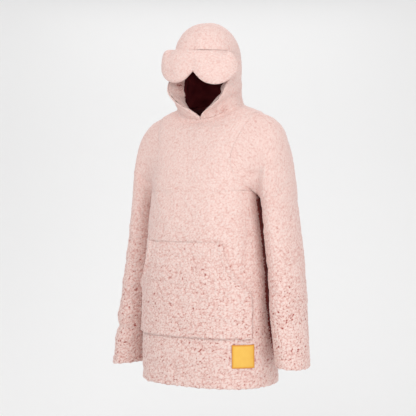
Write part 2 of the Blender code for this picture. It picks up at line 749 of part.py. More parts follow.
def main():
    for piece in list(bpy.data.objects):
        bpy.data.objects.remove(piece, do_unlink=True)
    garment_parts = bpy.data.collections.new("hoodie")
    bpy.context.scene.collection.children.link(garment_parts)
    make_panel("front", True)
    make_panel("back", False)
    make_sleeve("left")
    make_sleeve("right")
    make_hood_half("left")
    make_hood_half("right")
    make_facing("left")
    make_facing("right")
    make_lining()
    make_pocket()
    make_label()
    make_mask()


main()
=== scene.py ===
"""Looks of a long sherpa-fleece hoodie with an eye-mask flap, in its worn hollow shape.

The front faces -Y, +Z is up and the wearer's left is +X. Every piece of cloth is a wall
between a fine outer grid, which carries the curly pile, and a coarser inner grid.
"""

import bpy
import numpy as np
from bpy.props import FloatProperty, PointerProperty, StringProperty
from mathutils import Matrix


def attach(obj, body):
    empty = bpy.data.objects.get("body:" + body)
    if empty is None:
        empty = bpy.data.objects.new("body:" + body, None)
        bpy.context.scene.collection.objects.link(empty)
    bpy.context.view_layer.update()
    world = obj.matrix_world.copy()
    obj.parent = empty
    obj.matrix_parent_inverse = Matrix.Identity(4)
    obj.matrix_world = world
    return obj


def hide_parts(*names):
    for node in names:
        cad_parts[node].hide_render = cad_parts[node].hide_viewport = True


bl_info = {
    "name": "Sherpa hoodie",
    "version": (1, 0, 0),
    "blender": (4, 5, 0),
    "location": "View3D > Sidebar > Hoodie",
    "description": "Sews a fleece hoodie with a padded eye-mask flap, piece by piece",
    "category": "Add Mesh",
}

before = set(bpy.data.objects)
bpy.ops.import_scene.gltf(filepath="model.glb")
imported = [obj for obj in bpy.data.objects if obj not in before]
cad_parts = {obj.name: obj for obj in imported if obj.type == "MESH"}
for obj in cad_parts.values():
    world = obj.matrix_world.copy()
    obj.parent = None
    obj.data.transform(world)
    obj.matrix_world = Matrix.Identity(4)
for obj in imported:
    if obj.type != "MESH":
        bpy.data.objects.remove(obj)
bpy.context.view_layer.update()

# Rings of the garment from hem to neck, in metres and degrees
RING_COLUMNS = (
    "side_z", "width", "front", "back", "mid_y", "square_front", "square_back", "dip", "rise",
    "turn")
BODY_RINGS = (
    (-0.812, 0.205, 0.150, 0.152, -0.022, 2.5, 2.4, 0.000, 0.000, 0.0),
    (-0.700, 0.206, 0.152, 0.148, -0.022, 2.5, 2.4, 0.000, 0.000, 0.0),
    (-0.560, 0.199, 0.153, 0.138, -0.023, 2.5, 2.4, 0.000, 0.000, 0.0),
    (-0.420, 0.185, 0.152, 0.130, -0.024, 2.6, 2.5, 0.000, 0.000, 0.0),
    (-0.320, 0.175, 0.149, 0.126, -0.024, 2.6, 2.5, 0.000, 0.000, 0.0),
    (-0.250, 0.170, 0.143, 0.124, -0.021, 2.6, 2.5, 0.004, 0.002, 0.0),
    (-0.180, 0.174, 0.132, 0.121, -0.017, 2.6, 2.5, 0.012, 0.005, 0.0),
    (-0.120, 0.177, 0.119, 0.116, -0.013, 2.6, 2.5, 0.024, 0.008, 0.0),
    (-0.062, 0.176, 0.104, 0.109, -0.011, 2.6, 2.4, 0.036, 0.011, 0.0),
    (-0.022, 0.161, 0.087, 0.101, -0.012, 2.5, 2.3, 0.043, 0.014, 0.0),
    (-0.010, 0.133, 0.073, 0.094, -0.017, 2.5, 2.3, 0.045, 0.016, 0.0),
    (0.003, 0.104, 0.055, 0.087, -0.025, 2.5, 2.3, 0.043, 0.016, 0.0),
)
HOOD_RINGS = (
    (0.022, 0.100, 0.060, 0.104, -0.042, 2.8, 2.3, 0.036, 0.013, 2.0),
    (0.044, 0.102, 0.074, 0.125, -0.067, 3.4, 2.3, 0.025, 0.010, 5.0),
    (0.070, 0.101, 0.085, 0.128, -0.069, 3.4, 2.3, 0.014, 0.006, 8.0),
    (0.100, 0.098, 0.095, 0.125, -0.062, 3.1, 2.3, 0.006, 0.003, 10.0),
    (0.130, 0.095, 0.101, 0.117, -0.054, 2.7, 2.3, 0.000, 0.000, 10.0),
    (0.160, 0.091, 0.104, 0.107, -0.048, 2.4, 2.3, 0.000, 0.000, 10.0),
    (0.187, 0.085, 0.094, 0.096, -0.050, 2.2, 2.2, 0.000, 0.000, 10.0),
    (0.211, 0.072, 0.077, 0.077, -0.052, 2.1, 2.1, 0.000, 0.000, 10.0),
    (0.229, 0.053, 0.055, 0.055, -0.053, 2.0, 2.0, 0.000, 0.000, 10.0),
    (0.240, 0.030, 0.027, 0.030, -0.053, 2.0, 2.0, 0.000, 0.000, 10.0),
    (0.244, 0.000, 0.000, 0.000, -0.053, 2.0, 2.0, 0.000, 0.000, 10.0),
)
NECK_ROW = len(BODY_RINGS) - 1

# Armhole: the heights of its ends, and how many eighths of a turn it reaches round each face
ARMPIT_Z = -0.250
SHOULDER_Z = -0.022
ARMHOLE_REACH = {"front": 1.12, "back": 1.18}

# Sections of a sleeve from the armhole to the cuff, in metres. The armhole's outline fades
# out over ARMHOLE_FADE of them, and each cuff hangs lower than its section by CUFF_DROP.
SLEEVE_COLUMNS = ("top_x", "top_z", "under_x", "under_z", "mid_y", "depth")
SLEEVE_SECTIONS = (
    (0.161, -0.022, 0.170, -0.250, -0.010, 0.080),
    (0.202, -0.040, 0.178, -0.268, -0.010, 0.078),
    (0.231, -0.072, 0.184, -0.284, -0.009, 0.080),
    (0.248, -0.128, 0.188, -0.302, -0.008, 0.082),
    (0.259, -0.200, 0.191, -0.330, -0.007, 0.082),
    (0.270, -0.300, 0.194, -0.375, -0.007, 0.081),
    (0.286, -0.400, 0.200, -0.435, -0.008, 0.079),
    (0.301, -0.510, 0.210, -0.520, -0.015, 0.076),
    (0.313, -0.620, 0.221, -0.620, -0.025, 0.072),
    (0.323, -0.700, 0.233, -0.697, -0.033, 0.066),
    (0.328, -0.752, 0.243, -0.747, -0.038, 0.063),
)
ARMHOLE_FADE = 2.5
CUFF_DROP = {"left": 0.0, "right": 0.030}

# Painted shadows where little light gets in: behind the eye mask's near end, below its far
# lobe and in the folds at the neck. The columns are the place, its size and its depth of tone.
SHADES = (
    (0.103, -0.078, 0.094, 0.011, 0.75),
    (0.098, -0.090, 0.082, 0.013, 0.75),
    (0.090, -0.102, 0.068, 0.012, 0.45),
    (-0.072, -0.090, 0.062, 0.016, 0.60),
    (-0.068, -0.080, 0.046, 0.012, 0.35),
    (0.078, -0.070, -0.016, 0.012, 0.22),
    (0.062, -0.086, -0.024, 0.013, 0.22),
)
# Painted shade in the dark between a sleeve and the body, in metres: its top, its bottom,
# how far back and how far to each side it reaches, and how far forward, as heights and Y
CREVICE_TOP = -0.245
CREVICE_BOTTOM = -0.740
CREVICE_BACK = 0.040
CREVICE_WIDTH = 0.016
CREVICE_FRONT = (
    (-0.740, -0.020),
    (-0.640, -0.036),
    (-0.560, -0.044),
    (-0.450, -0.036),
    (-0.340, -0.040),
    (-0.240, -0.052),
)

# Face opening: its rim's height at the sides and its Y before the hood is turned. It starts
# as a V, and has its full width V_LENGTH up the hood's side.
BRIM_Z = 0.152
V_LENGTH = 0.027
RIM = (
    (0.003, -0.0800),
    (0.008, -0.0845),
    (0.014, -0.0909),
    (0.022, -0.0994),
    (0.032, -0.1080),
    (0.044, -0.1185),
    (0.057, -0.1200),
    (0.070, -0.1130),
    (0.085, -0.1070),
    (0.100, -0.1060),
    (0.125, -0.1160),
    (0.142, -0.1360),
    (0.152, -0.1500),
)
# The facing covers the first FACING_SHARE of a row from the rim to the centre back, and turns
# in towards the middle of the hood. The columns are the ring's height at the sides, and how
# far in and how far back its inner edge stands off the hood's side. REACH_SHARES are the
# parts of that along a row, in equal steps.
FACING_SHARE = 3 / 14
FACING_REACH = (
    (0.003, 0.018, 0.008),
    (0.014, 0.024, 0.006),
    (0.022, 0.029, -0.002),
    (0.032, 0.032, 0.000),
    (0.044, 0.034, -0.006),
    (0.057, 0.032, -0.006),
    (0.070, 0.029, -0.004),
    (0.100, 0.022, -0.002),
    (0.130, 0.014, 0.000),
    (0.160, 0.007, 0.000),
    (0.187, 0.000, 0.000),
)
REACH_SHARES = (0.0, 0.33, 0.67, 1.0, 0.88, 0.66, 0.40, 0.18, 0.05, 0.0, 0.0, 0.0, 0.0, 0.0, 0.0)
# Shares of a row from the rim to the facing, and from FACING_SHARE to the facing and to
# the lining
RIM_SHARE = 0.002
LAYERS_APART = 0.001
# Facing, in metres: how far it and its middle pile stand off its base, the height of its
# pile, and its thickness at the rim and at its inner edge. Then how far from the crown the
# facing and the lining end, and how thick a rim the hood's edge is rolled to.
FACING_OFF = 0.0002
FACING = 0.0030
FACING_PILE = 0.0016
FACING_RIM = 0.0036
FACING_EDGE = 0.0026
CROWN_GAP = 0.003
HOOD_ROLL = 0.0096

# Kangaroo pocket: its columns are the height and the half width along the cloth
POCKET = (
    (-0.668, 0.211),
    (-0.600, 0.212),
    (-0.545, 0.212),
    (-0.532, 0.200),
    (-0.517, 0.182),
    (-0.495, 0.162),
    (-0.465, 0.144),
    (-0.430, 0.131),
    (-0.397, 0.124),
)
# Height at which its hand openings start, how far they gape and the room behind it
MOUTH_Z = -0.545
POCKET_GAPE = 0.0058
POCKET_GAP = 0.0012

# Label, in metres: its side, its middle's height and distance along the cloth from the
# front's middle, its thickness, its darker border's width, how far it stands off the
# front, how far the front is pressed in under it, and its stitches' inset, length, arch
# and radius
LABEL_SIZE = 0.066
LABEL_MID_Z = -0.717
LABEL_MID_ALONG = 0.185
LABEL_THICKNESS = 0.0012
LABEL_BORDER = 0.0045
LABEL_OFF = 0.0026
LABEL_SINK = 0.0012
STITCH_INSET = 0.0035
STITCH_LENGTH = 0.0036
STITCH_ARCH = 0.0007
STITCH_RADIUS = 0.0004
STITCHES_EACH_SIDE = 12

# Eye-mask flap: half outline as x, the heights of the top and the bottom edge, and Y
MASK = (
    (0.000, 0.151, 0.0900, -0.1570),
    (0.010, 0.151, 0.0800, -0.1570),
    (0.022, 0.151, 0.0680, -0.1565),
    (0.040, 0.152, 0.0585, -0.1545),
    (0.060, 0.153, 0.0555, -0.1500),
    (0.080, 0.156, 0.0590, -0.1430),
    (0.097, 0.154, 0.0690, -0.1345),
    (0.109, 0.145, 0.0820, -0.1245),
    (0.117, 0.127, 0.0970, -0.1140),
    (0.119, 0.113, 0.1125, -0.1115),
)
# Degrees that its left end is lower, and in metres how far forward its bottom edge swings,
# how far its middle stands off the brim and half its thickness at the edge. HOOD_TURN is
# the degrees that the hood's upper part is turned to the wearer's left.
MASK_TILT = 4.5
MASK_SWING = 0.006
MASK_OFF = 0.0035
MASK_EDGE = 0.002
HOOD_TURN = 10.0

# Cloth, in metres: the fleece's and the lining's thickness, what a turned edge adds to it,
# the room between two layers, and how near an armhole the creases fade out
FLEECE = 0.004
LINING = 0.0015
TURNED_EXTRA = 0.001
LAYER_GAP = 0.0005
CREASE_FADE = 0.018
# Depths of the troughs at the seams: of the neck and of the hood's halves in front and at
# the back, of an underarm, and the depth and width of the one that a hem's stitches pull
NECK_DIP = 0.0007
BROW_DIP = 0.0005
BACK_DIP = 0.0010
UNDERARM_DIP = 0.0012
HEM_DIP = (0.0012, 0.003)
# Tone of the pile at its middle height
MIDDLE_TONE = 0.52
SMALL = 1e-9
# The inner grid of a cloth has one point for COARSE of the outer grid's, each way. The
# cells of the outer grids are multiples of it, and a pair is the rows and the columns.
COARSE = 4
BODY_CELLS = {"below": 236, "above": 28, "front": 116, "back": 92}
ARMHOLE_CELLS = 100
SLEEVE_CELLS = 284
HOOD_CELLS = {"open": 88, "closed": 72, "round": 160}
FACING_CELLS = (128, 40)
LINING_CELLS = (72, 64)
POCKET_CELLS = (128, 184)
LABEL_CELLS = 48
MASK_CELLS = 92
MIRROR = {"left": np.array([1.0, 1.0, 1.0]), "right": np.array([-1.0, 1.0, 1.0])}

# Soft creases placed on the cloth. The columns are the place across and up the
# piece, the length, the angle from level in degrees, the half width and the height,
# which is negative in a trough. The lengths are in millimetres.
FRONT_CREASES = (
    (135, -268, 120, 52, 13, -3.0),
    (108, -285, 140, 46, 18, 1.6),
    (-138, -262, 110, -50, 13, -2.8),
    (-100, -290, 150, -38, 20, 1.4),
    (30, -205, 130, 6, 12, -1.1),
    (-60, -245, 150, -5, 13, 1.0),
    (60, -335, 170, 9, 13, -1.3),
    (-50, -368, 190, -6, 14, -1.2),
    (200, -420, 190, 84, 17, -2.4),
    (-205, -450, 170, -82, 16, -2.2),
    (190, -640, 150, 86, 18, -1.6),
    (40, -728, 240, 4, 14, 1.2),
    (-110, -752, 180, -7, 13, -1.4),
    (165, -775, 120, 12, 12, -1.2),
    (-15, -790, 130, 70, 14, 1.3),
    (90, -80, 110, -34, 14, -1.4),
    (-85, -90, 100, 32, 13, -1.2),
)
BACK_CREASES = (
    (120, -285, 150, 58, 16, -3.2),
    (-118, -275, 140, -55, 16, -3.0),
    (85, -330, 170, 48, 22, 2.0),
    (-80, -325, 160, -46, 22, 1.9),
    (10, -120, 170, 3, 15, -1.6),
    (-30, -172, 140, -6, 14, 1.3),
    (50, -430, 200, 14, 18, -2.0),
    (-60, -475, 180, -11, 16, -1.8),
    (20, -520, 160, 5, 18, 1.5),
    (150, -600, 200, 78, 20, -2.2),
    (-160, -640, 190, -80, 20, -2.1),
    (40, -720, 180, 84, 22, 1.8),
    (-70, -745, 130, 8, 14, -1.3),
)
# On a sleeve the place across is the distance round it from the underarm line to the
# front, and the place up is the distance down it from the armhole, at the top line
LEFT_CREASES = (
    (120, 75, 120, 62, 11, -2.8),
    (150, 130, 110, 48, 14, 1.6),
    (105, 205, 110, 12, 10, -1.8),
    (185, 262, 120, -14, 11, -1.5),
    (130, 345, 100, 8, 9, -2.1),
    (165, 372, 120, 4, 12, 1.6),
    (120, 420, 110, -10, 10, -1.6),
    (190, 470, 110, 13, 10, -1.9),
    (140, 520, 120, -5, 11, 1.7),
    (110, 560, 120, 9, 10, -2.4),
    (180, 605, 110, -8, 11, -1.8),
    (60, 300, 110, 16, 12, -2.2),
    (50, 480, 100, -12, 12, -2.0),
    (330, 120, 130, -55, 14, -2.6),
    (320, 280, 130, -12, 12, -2.2),
    (300, 400, 120, 10, 12, -2.0),
    (340, 530, 120, -8, 12, -2.2),
    (280, 590, 110, 12, 12, 1.6),
)
RIGHT_CREASES = (
    (110, 80, 120, 60, 12, -2.8),
    (150, 150, 110, 44, 14, 1.5),
    (90, 240, 110, 10, 10, -2.0),
    (70, 315, 120, -8, 10, -2.2),
    (110, 360, 110, 6, 12, 1.8),
    (80, 405, 130, -6, 10, -2.4),
    (120, 480, 120, 7, 10, -2.2),
    (90, 545, 130, 3, 12, 2.2),
    (100, 590, 120, -5, 10, -2.0),
    (110, 650, 170, 4, 16, 5.0),
    (105, 690, 180, -8, 9, -6.2),
    (110, 728, 150, 4, 14, 3.0),
    (40, 470, 100, 14, 12, -2.0),
    (230, 300, 140, -10, 12, -2.0),
    (250, 470, 130, 9, 12, -2.0),
    (330, 140, 130, -52, 14, -2.6),
    (330, 380, 130, 10, 12, -2.2),
    (320, 585, 130, -10, 11, -3.0),
)
# On the hood the place across is the distance from the rim, and the place up a height
HOOD_CREASES = {
    "left": (
        (60, 24, 120, 18, 11, -5.8),
        (75, 52, 110, 16, 15, 2.6),
        (30, 90, 70, 78, 12, -1.6),
        (150, 70, 120, -24, 14, -2.2),
        (210, 45, 110, 8, 13, -2.6),
        (230, 120, 120, 70, 16, -1.5),
        (120, 165, 100, 10, 16, 1.2),
    ),
    "right": (
        (50, 34, 100, 22, 12, -3.4),
        (80, 60, 100, 14, 15, 1.8),
        (20, 110, 60, 84, 11, -1.4),
        (150, 80, 110, -20, 14, -2.0),
        (200, 48, 120, 6, 13, -2.6),
        (240, 130, 110, 72, 16, -1.4),
    ),
}
POCKET_CREASES = (
    (60, -470, 150, 8, 11, -1.2),
    (-40, -520, 180, -5, 12, -1.4),
    (110, -560, 130, 12, 11, -1.4),
    (-130, -590, 140, -9, 12, -1.3),
    (30, -610, 200, 3, 13, 1.4),
    (150, -628, 110, -10, 10, -1.2),
    (-60, -645, 160, 5, 10, -1.2),
)

# On the eye mask the places are its X and its height, before the hood's turn
MASK_DIMPLES = (
    (34, 128, 60, -10, 7, -2.2),
    (86, 126, 30, 10, 5, -2.0),
    (-50, 120, 70, 14, 9, -1.6),
    (0, 118, 50, 84, 10, -1.4),
    (60, 88, 60, 8, 10, 1.0),
    (-70, 85, 50, -12, 9, -1.2),
)

# Studio paper, in metres: its level length, its bend's radius, its half width, how far it
# starts in front of the neck and its depth below it. It rises by its level length too, and
# the shares are its level part's and its bend's.
PAPER_LENGTH = 5.0
PAPER_BEND = 1.5
PAPER_HALF_WIDTH = 6.0
PAPER_START = -3.5
PAPER_Z = -1.25
LEVEL_SHARE = 0.4
BEND_SHARE = 0.2
# Camera: degrees, metres, the photograph's own frame in pixels and the sensor in millimetres
AZIMUTH = 32.0
FOCAL_PIXELS = 1000.0
FRAME_PIXELS = 416.0
SENSOR_WIDTH = 36.0
CAMERA_DISTANCE = 3.0
CAMERA_SHIFT = 0.018
CAMERA_Z = -0.30
# Lights: degrees from the camera, degrees up, metres away, metres wide and watts
LIGHTS = (
    ("key", -18.0, 36.0, 3.2, 2.2, 34.0),
    ("fill", 30.0, 0.0, 3.4, 1.8, 26.0),
    ("back", 180.0, 45.0, 3.0, 2.0, 20.0),
)
ROOM_LIGHT = 0.72


def clamp(values):
    """Values kept from 0 to 1."""
    return np.clip(values, 0.0, 1.0)


def bell(distance, width):
    """Bell curve exp(-(d/w)^2), which is 1 at a distance of 0."""
    return np.exp(-(distance / width) ** 2)


def hermite(knots, values, at):
    """Smooth curve through the rows of values at the knots, read at the places at: the
    cubic of each cell that keeps its ends' values and their mean slopes."""
    knots = np.asarray(knots, float)
    values = np.asarray(values, float)
    slope = np.gradient(values, knots, axis=0)
    at = np.clip(np.asarray(at, float), knots[0], knots[-1])
    cell = np.clip(np.searchsorted(knots, at, side="right") - 1, 0, len(knots) - 2)
    span = knots[cell + 1] - knots[cell]
    u = (at - knots[cell]) / span
    if values.ndim > 1:
        span = span[..., None]
        u = u[..., None]
    start = (1 + 2 * u) * (1 - u) ** 2 * values[cell]
    end = u ** 2 * (3 - 2 * u) * values[cell + 1]
    start_turn = u * (1 - u) ** 2 * span * slope[cell]
    end_turn = u ** 2 * (u - 1) * span * slope[cell + 1]
    return start + end + start_turn + end_turn


RINGS = np.array(BODY_RINGS + HOOD_RINGS)
STEPS = np.hypot(np.diff(RINGS[:, 0]), np.diff(RINGS[:, 1]))
LEVELS = np.concatenate([[0.0], np.cumsum(STEPS)])
NECK = LEVELS[NECK_ROW]
CROWN = LEVELS[-1]
FINE_LEVELS = np.linspace(0.0, CROWN, 2000)
FINE_HEIGHTS = hermite(LEVELS, RINGS[:, 0], FINE_LEVELS)


def level_at(side_z):
    """Levels, measured along the side line, of the rings at heights of the sides."""
    return np.interp(side_z, FINE_HEIGHTS, FINE_LEVELS)


ARMPIT = level_at(ARMPIT_Z)
SHOULDER = level_at(SHOULDER_Z)
BRIM = level_at(BRIM_Z)


def turned(points, degrees):
    """Points turned about the neck's axis, towards the wearer's left."""
    turn = np.radians(degrees)
    x, y, z = np.moveaxis(points, -1, 0)
    return np.stack([
        x * np.cos(turn) - y * np.sin(turn), x * np.sin(turn) + y * np.cos(turn), z], axis=-1)


def garment(angle, level, turn=True):
    """Point of the garment's outer surface: 0 is the wearer's left side, -90 degrees the
    front, 90 the back. A ring is x = w |cos a|^(2/n), y = y0 + d |sin a|^(2/n)."""
    angle, level = np.broadcast_arrays(np.asarray(angle, float), np.asarray(level, float))
    ring = dict(zip(RING_COLUMNS, np.moveaxis(hermite(LEVELS, RINGS, level), -1, 0)))
    cosine = np.cos(angle)
    sine = np.sin(angle)
    is_front = sine < 0
    power = 2.0 / np.where(is_front, ring["square_front"], ring["square_back"])
    depth = np.where(is_front, ring["front"], ring["back"])
    x = ring["width"] * np.sign(cosine) * np.abs(cosine) ** power
    y = ring["mid_y"] + depth * np.sign(sine) * np.abs(sine) ** power
    lift = np.where(is_front, -ring["dip"], ring["rise"]) * sine ** 2
    points = np.stack([x, y, ring["side_z"] + lift], axis=-1)
    return turned(points, ring["turn"]) if turn else points


def unit(vectors):
    """Vectors scaled to length 1."""
    return vectors / np.maximum(np.linalg.norm(vectors, axis=-1, keepdims=True), SMALL)


def garment_normal(angle, level):
    """Unit normal of the garment's surface, pointing out: the cross product of its
    slopes around and along."""
    step = 0.004
    angle_step = 0.02
    lower = np.clip(level - step, 0.0, CROWN - 2 * step)
    upper = np.clip(level + step, 2 * step, CROWN)
    around = garment(angle + angle_step, level) - garment(angle - angle_step, level)
    along = garment(angle, upper) - garment(angle, lower)
    normal = np.cross(around, along)
    flat = np.array([0.0, 0.0, 1.0])
    pole = np.linalg.norm(normal, axis=-1, keepdims=True) < SMALL
    return np.where(pole, flat, unit(normal))


def measured(points, axis):
    """Distance of each point of a line or grid from the first one, along an axis."""
    steps = np.linalg.norm(np.diff(points, axis=axis), axis=-1)
    widths = [(1, 0) if k == axis else (0, 0) for k in range(steps.ndim)]
    return np.pad(np.cumsum(steps, axis=axis), widths)


def row_angles(levels, start, end, shares):
    """Angles on each level's ring at shares of the length from start to end."""
    fine = np.linspace(0.0, 1.0, 160)
    angles = start[:, None] + (end - start)[:, None] * fine
    run = measured(garment(angles, levels[:, None]), 1) + SMALL * np.arange(len(fine))
    run /= run[:, -1:]
    return np.array([np.interp(shares, r, a) for r, a in zip(run, angles)])


def armhole_angle(level, face):
    """Angle of the armhole's edge on a ring: an ellipse from the armpit to the shoulder,
    and none below or above."""
    middle = (ARMPIT + SHOULDER) / 2
    half = (SHOULDER - ARMPIT) / 2
    inside = clamp(1 - ((level - middle) / half) ** 2)
    return np.pi / 4 * ARMHOLE_REACH[face] * np.sqrt(inside)


# Levels from the armpit to the shoulder, spaced as points are round an ellipse
HOLE_LEVELS = ARMPIT + (SHOULDER - ARMPIT) * (
    1 - np.cos(np.linspace(0.0, np.pi, ARMHOLE_CELLS + 1))) / 2


def hash_cells(cells, seed):
    """Whole number from 0 to 4095 for each cell of a lattice, mixed from its place."""
    x, y, z = np.moveaxis(cells.astype(np.int64), -1, 0)
    mixed = x * 73856093 ^ y * 19349663 ^ z * 83492791 ^ seed * 2654435761
    mixed ^= mixed >> 13
    return (mixed * 1274126177 >> 7) & 4095


def smooth_noise(points, size, seed):
    """Gradient noise from about -1 to 1: each lattice corner has a random slope, and the
    eight slopes round a point are blended with 6t^5 - 15t^4 + 10t^3."""
    slopes = unit(np.random.default_rng(seed).normal(size=(4096, 3))).astype(np.float32)
    place = (points / size).astype(np.float32)
    cell = np.floor(place).astype(np.int64)
    inside = place - cell
    blend = inside ** 3 * (inside * (inside * 6 - 15) + 10)
    total = np.zeros(points.shape[:-1], np.float32)
    for corner in np.ndindex(2, 2, 2):
        corner = np.array(corner)
        slope = slopes[hash_cells(cell + corner, seed)]
        weight = np.prod(np.where(corner, blend, 1 - blend), axis=-1)
        total += weight * np.sum(slope * (inside - corner), axis=-1)
    return total * 1.6


def tufts(points, size, seed):
    """Round tufts from 0 to 1, one thrown into each cell of a lattice: 1.15 - 0.75 d at a
    distance d from the nearest centre, in cells, less where a second one is as near."""
    thrown = np.random.default_rng(seed).random((4096, 3)).astype(np.float32)
    place = (points / size).astype(np.float32)
    cell = np.floor(place).astype(np.int64)
    nearest = np.full(points.shape[:-1], 9.0, np.float32)
    second = nearest.copy()
    for offset in np.ndindex(3, 3, 3):
        there = cell + (np.array(offset) - 1)
        gap = there + thrown[hash_cells(there, seed)] - place
        far = np.sum(gap * gap, axis=-1)
        second = np.minimum(second, np.maximum(nearest, far))
        nearest = np.minimum(nearest, far)
    nearest = np.sqrt(nearest)
    between = clamp((np.sqrt(second) - nearest) / 0.30)
    return clamp((1.15 - 0.75 * nearest) * (0.35 + 0.65 * between))


def pile(points, sizes):
    """Height of the curly pile from 0 to 1 at points: tufts, pulled into curls by noise
    and flattened from above, with finer noise on them."""
    spread = points * np.array([1.0, 1.0, 1.35])
    warp = np.stack([smooth_noise(spread, sizes.tuft * 1.5, seed) for seed in (3, 5, 7)], axis=-1)
    curl = tufts(spread + warp * sizes.tuft * 0.55, sizes.tuft, 11)
    grain = smooth_noise(spread, sizes.tuft * 0.55, 13)
    return clamp(0.78 * curl + 0.20 * (grain + 0.5))


def crevice(points):
    """Share of painted shade: 1 on a sleeve and on the body's side where they face each other
    and no light gets in, down to 0 in front of that, behind it and away from the surface
    halfway between."""
    x, y, z = np.moveaxis(points, -1, 0)
    section = dict(zip(SLEEVE_COLUMNS, np.array(SLEEVE_SECTIONS).T))
    sleeve = np.interp(-z, -section["under_z"], section["under_x"])
    body = np.interp(z, *np.array(BODY_RINGS).T[:2])
    across = np.abs(np.abs(x) - (sleeve + body) / 2)
    upright = clamp((CREVICE_TOP - z) / 0.06) * clamp((z - CREVICE_BOTTOM) / 0.10)
    near = clamp(1.6 - across / CREVICE_WIDTH)
    behind = clamp((y - np.interp(z, *np.array(CREVICE_FRONT).T)) / 0.010)
    return upright * near * behind * clamp((CREVICE_BACK - y) / 0.03)


def shade(points):
    """How much darker the colour is painted, as painted shadow, in the places where light is kept
    out.
    """
    total = np.zeros(points.shape[:-1])
    for x, y, z, size, depth in SHADES:
        total += depth * np.exp(-np.sum(((points - (x, y, z)) / size) ** 2, axis=-1))
    return total


def growth(points):
    """How rough the pile has got: 0.7 on the hood and the chest, 1.3 at the hem."""
    down = clamp((-0.10 - points[..., 2]) / 0.55)
    return 0.7 + 0.6 * down * down * (3 - 2 * down)


def nap(points):
    """Slow uneven swell of the cloth, in metres: level waves and patches."""
    level = points * np.array([0.5, 0.5, 1.6])
    waves = 0.0010 * smooth_noise(level, 0.022, 17) * growth(points)
    patches = 0.0010 * smooth_noise(points, 0.055, 19)
    return waves + patches


def creases(across, up, table):
    """Sum of soft troughs and ridges. Each is its height times exp(-(d/width)^2) across it
    and exp(-(s/half length)^4) along it, bowed a little so that none is straight."""
    total = np.zeros_like(across)
    for k, (at_across, at_up, length, angle, width, height) in enumerate(table):
        turn = np.radians(angle)
        du = across * 1000 - at_across
        dv = up * 1000 - at_up
        along = (du * np.cos(turn) + dv * np.sin(turn)) / (length / 2)
        bow = 0.5 * width * (-1) ** k * along ** 2
        aside = (dv * np.cos(turn) - du * np.sin(turn) - bow) / width
        total += height / 1000 * np.exp(-aside ** 2) * np.exp(-along ** 4)
    return total


def beside_seam(distance):
    """Share of their height that creases have near an armhole: 1 - exp(-(d/fade)^2)."""
    return 1 - bell(distance, CREASE_FADE)


def runs(points):
    """Distance of each point of a grid from its first and last column, along its row, and
    from its first and last row, along its column."""
    left = measured(points, 1)
    below = measured(points, 0)
    return {"first": left, "last": left[:, -1:] - left, "bottom": below, "top": below[-1:] - below}


def seam_dip(distance, depth, width=0.0045):
    """Trough that the stitching pulls into the pile beside a seam."""
    return -depth * bell(distance, width)


def edge_round(distance, thickness):
    """How far a free edge's face falls to the middle of its thickness, as a half round."""
    inside = clamp(1 - distance / (thickness * 0.9))
    return thickness / 2 * (1 - np.sqrt(1 - inside ** 2))


def turned_hem(distance, hem):
    """At distances from a hem's edge: the swell of the turned cloth with the trough of its
    stitches, how far the edge is rounded, and 1 where the inside shows the knit's reverse."""
    swell = 0.0010 * clamp(1.4 - distance / hem) + seam_dip(distance - hem, *HEM_DIP)
    rounding = edge_round(distance, FLEECE + 2 * TURNED_EXTRA)
    return swell, rounding, clamp((distance - hem) / 0.004)


def ragged(base, distance):
    """Grid with its free edge lifted unevenly, by up to 5 mm, as pile makes a hem look:
    the lift falls off as exp(-(d/30 mm)^2) from the edge."""
    level = base * np.array([1.0, 1.0, 0.0])
    lift = 0.005 * clamp(0.5 + 0.7 * smooth_noise(level, 0.012, 31))
    lifted = base.copy()
    lifted[..., 2] += lift * bell(distance, 0.03)
    return lifted


def label_cover(across, up):
    """1 under the label and 0 a few millimetres outside it."""
    side = np.maximum(np.abs(across - LABEL_MID_ALONG), np.abs(up - LABEL_MID_Z))
    return clamp((LABEL_SIZE / 2 + 0.001 - side) / 0.003)


def link(tree, target, links):
    """Links sockets to a node's inputs."""
    for name, socket in links.items():
        tree.links.new(socket, target.inputs[name])


def node(tree, kind, settings=None, values=None, links=None):
    """Adds a shader node with its settings, its sockets' values and its incoming links."""
    made = tree.nodes.new(kind)
    for name, value in (settings or {}).items():
        setattr(made, name, value)
    for name, value in (values or {}).items():
        made.inputs[name].default_value = value
    link(tree, made, links or {})
    return made


def linear(colour):
    """Linear RGBA of an sRGB hex value."""
    channels = np.array([int(colour[k:k + 2], 16) for k in (1, 3, 5)]) / 255
    curved = np.where(channels > 0.04045, ((channels + 0.055) / 1.055) ** 2.4, channels / 12.92)
    return (*curved.tolist(), 1.0)


def set_stops(ramp, *stops):
    """Gives a colour ramp its stops, as places and sRGB hex values: both ends come first."""
    elements = ramp.color_ramp.elements
    for k, (place, colour) in enumerate(stops):
        element = elements[k] if k < 2 else elements.new(place)
        element.position = place
        element.color = linear(colour)


def new_material(name, values):
    """Material with a Principled shader of these values, its node tree and the shader."""
    material = bpy.data.materials.new(name)
    material.use_nodes = True
    shader = material.node_tree.nodes["Principled BSDF"]
    for key, value in values.items():
        shader.inputs[key].default_value = value
    return material, material.node_tree, shader


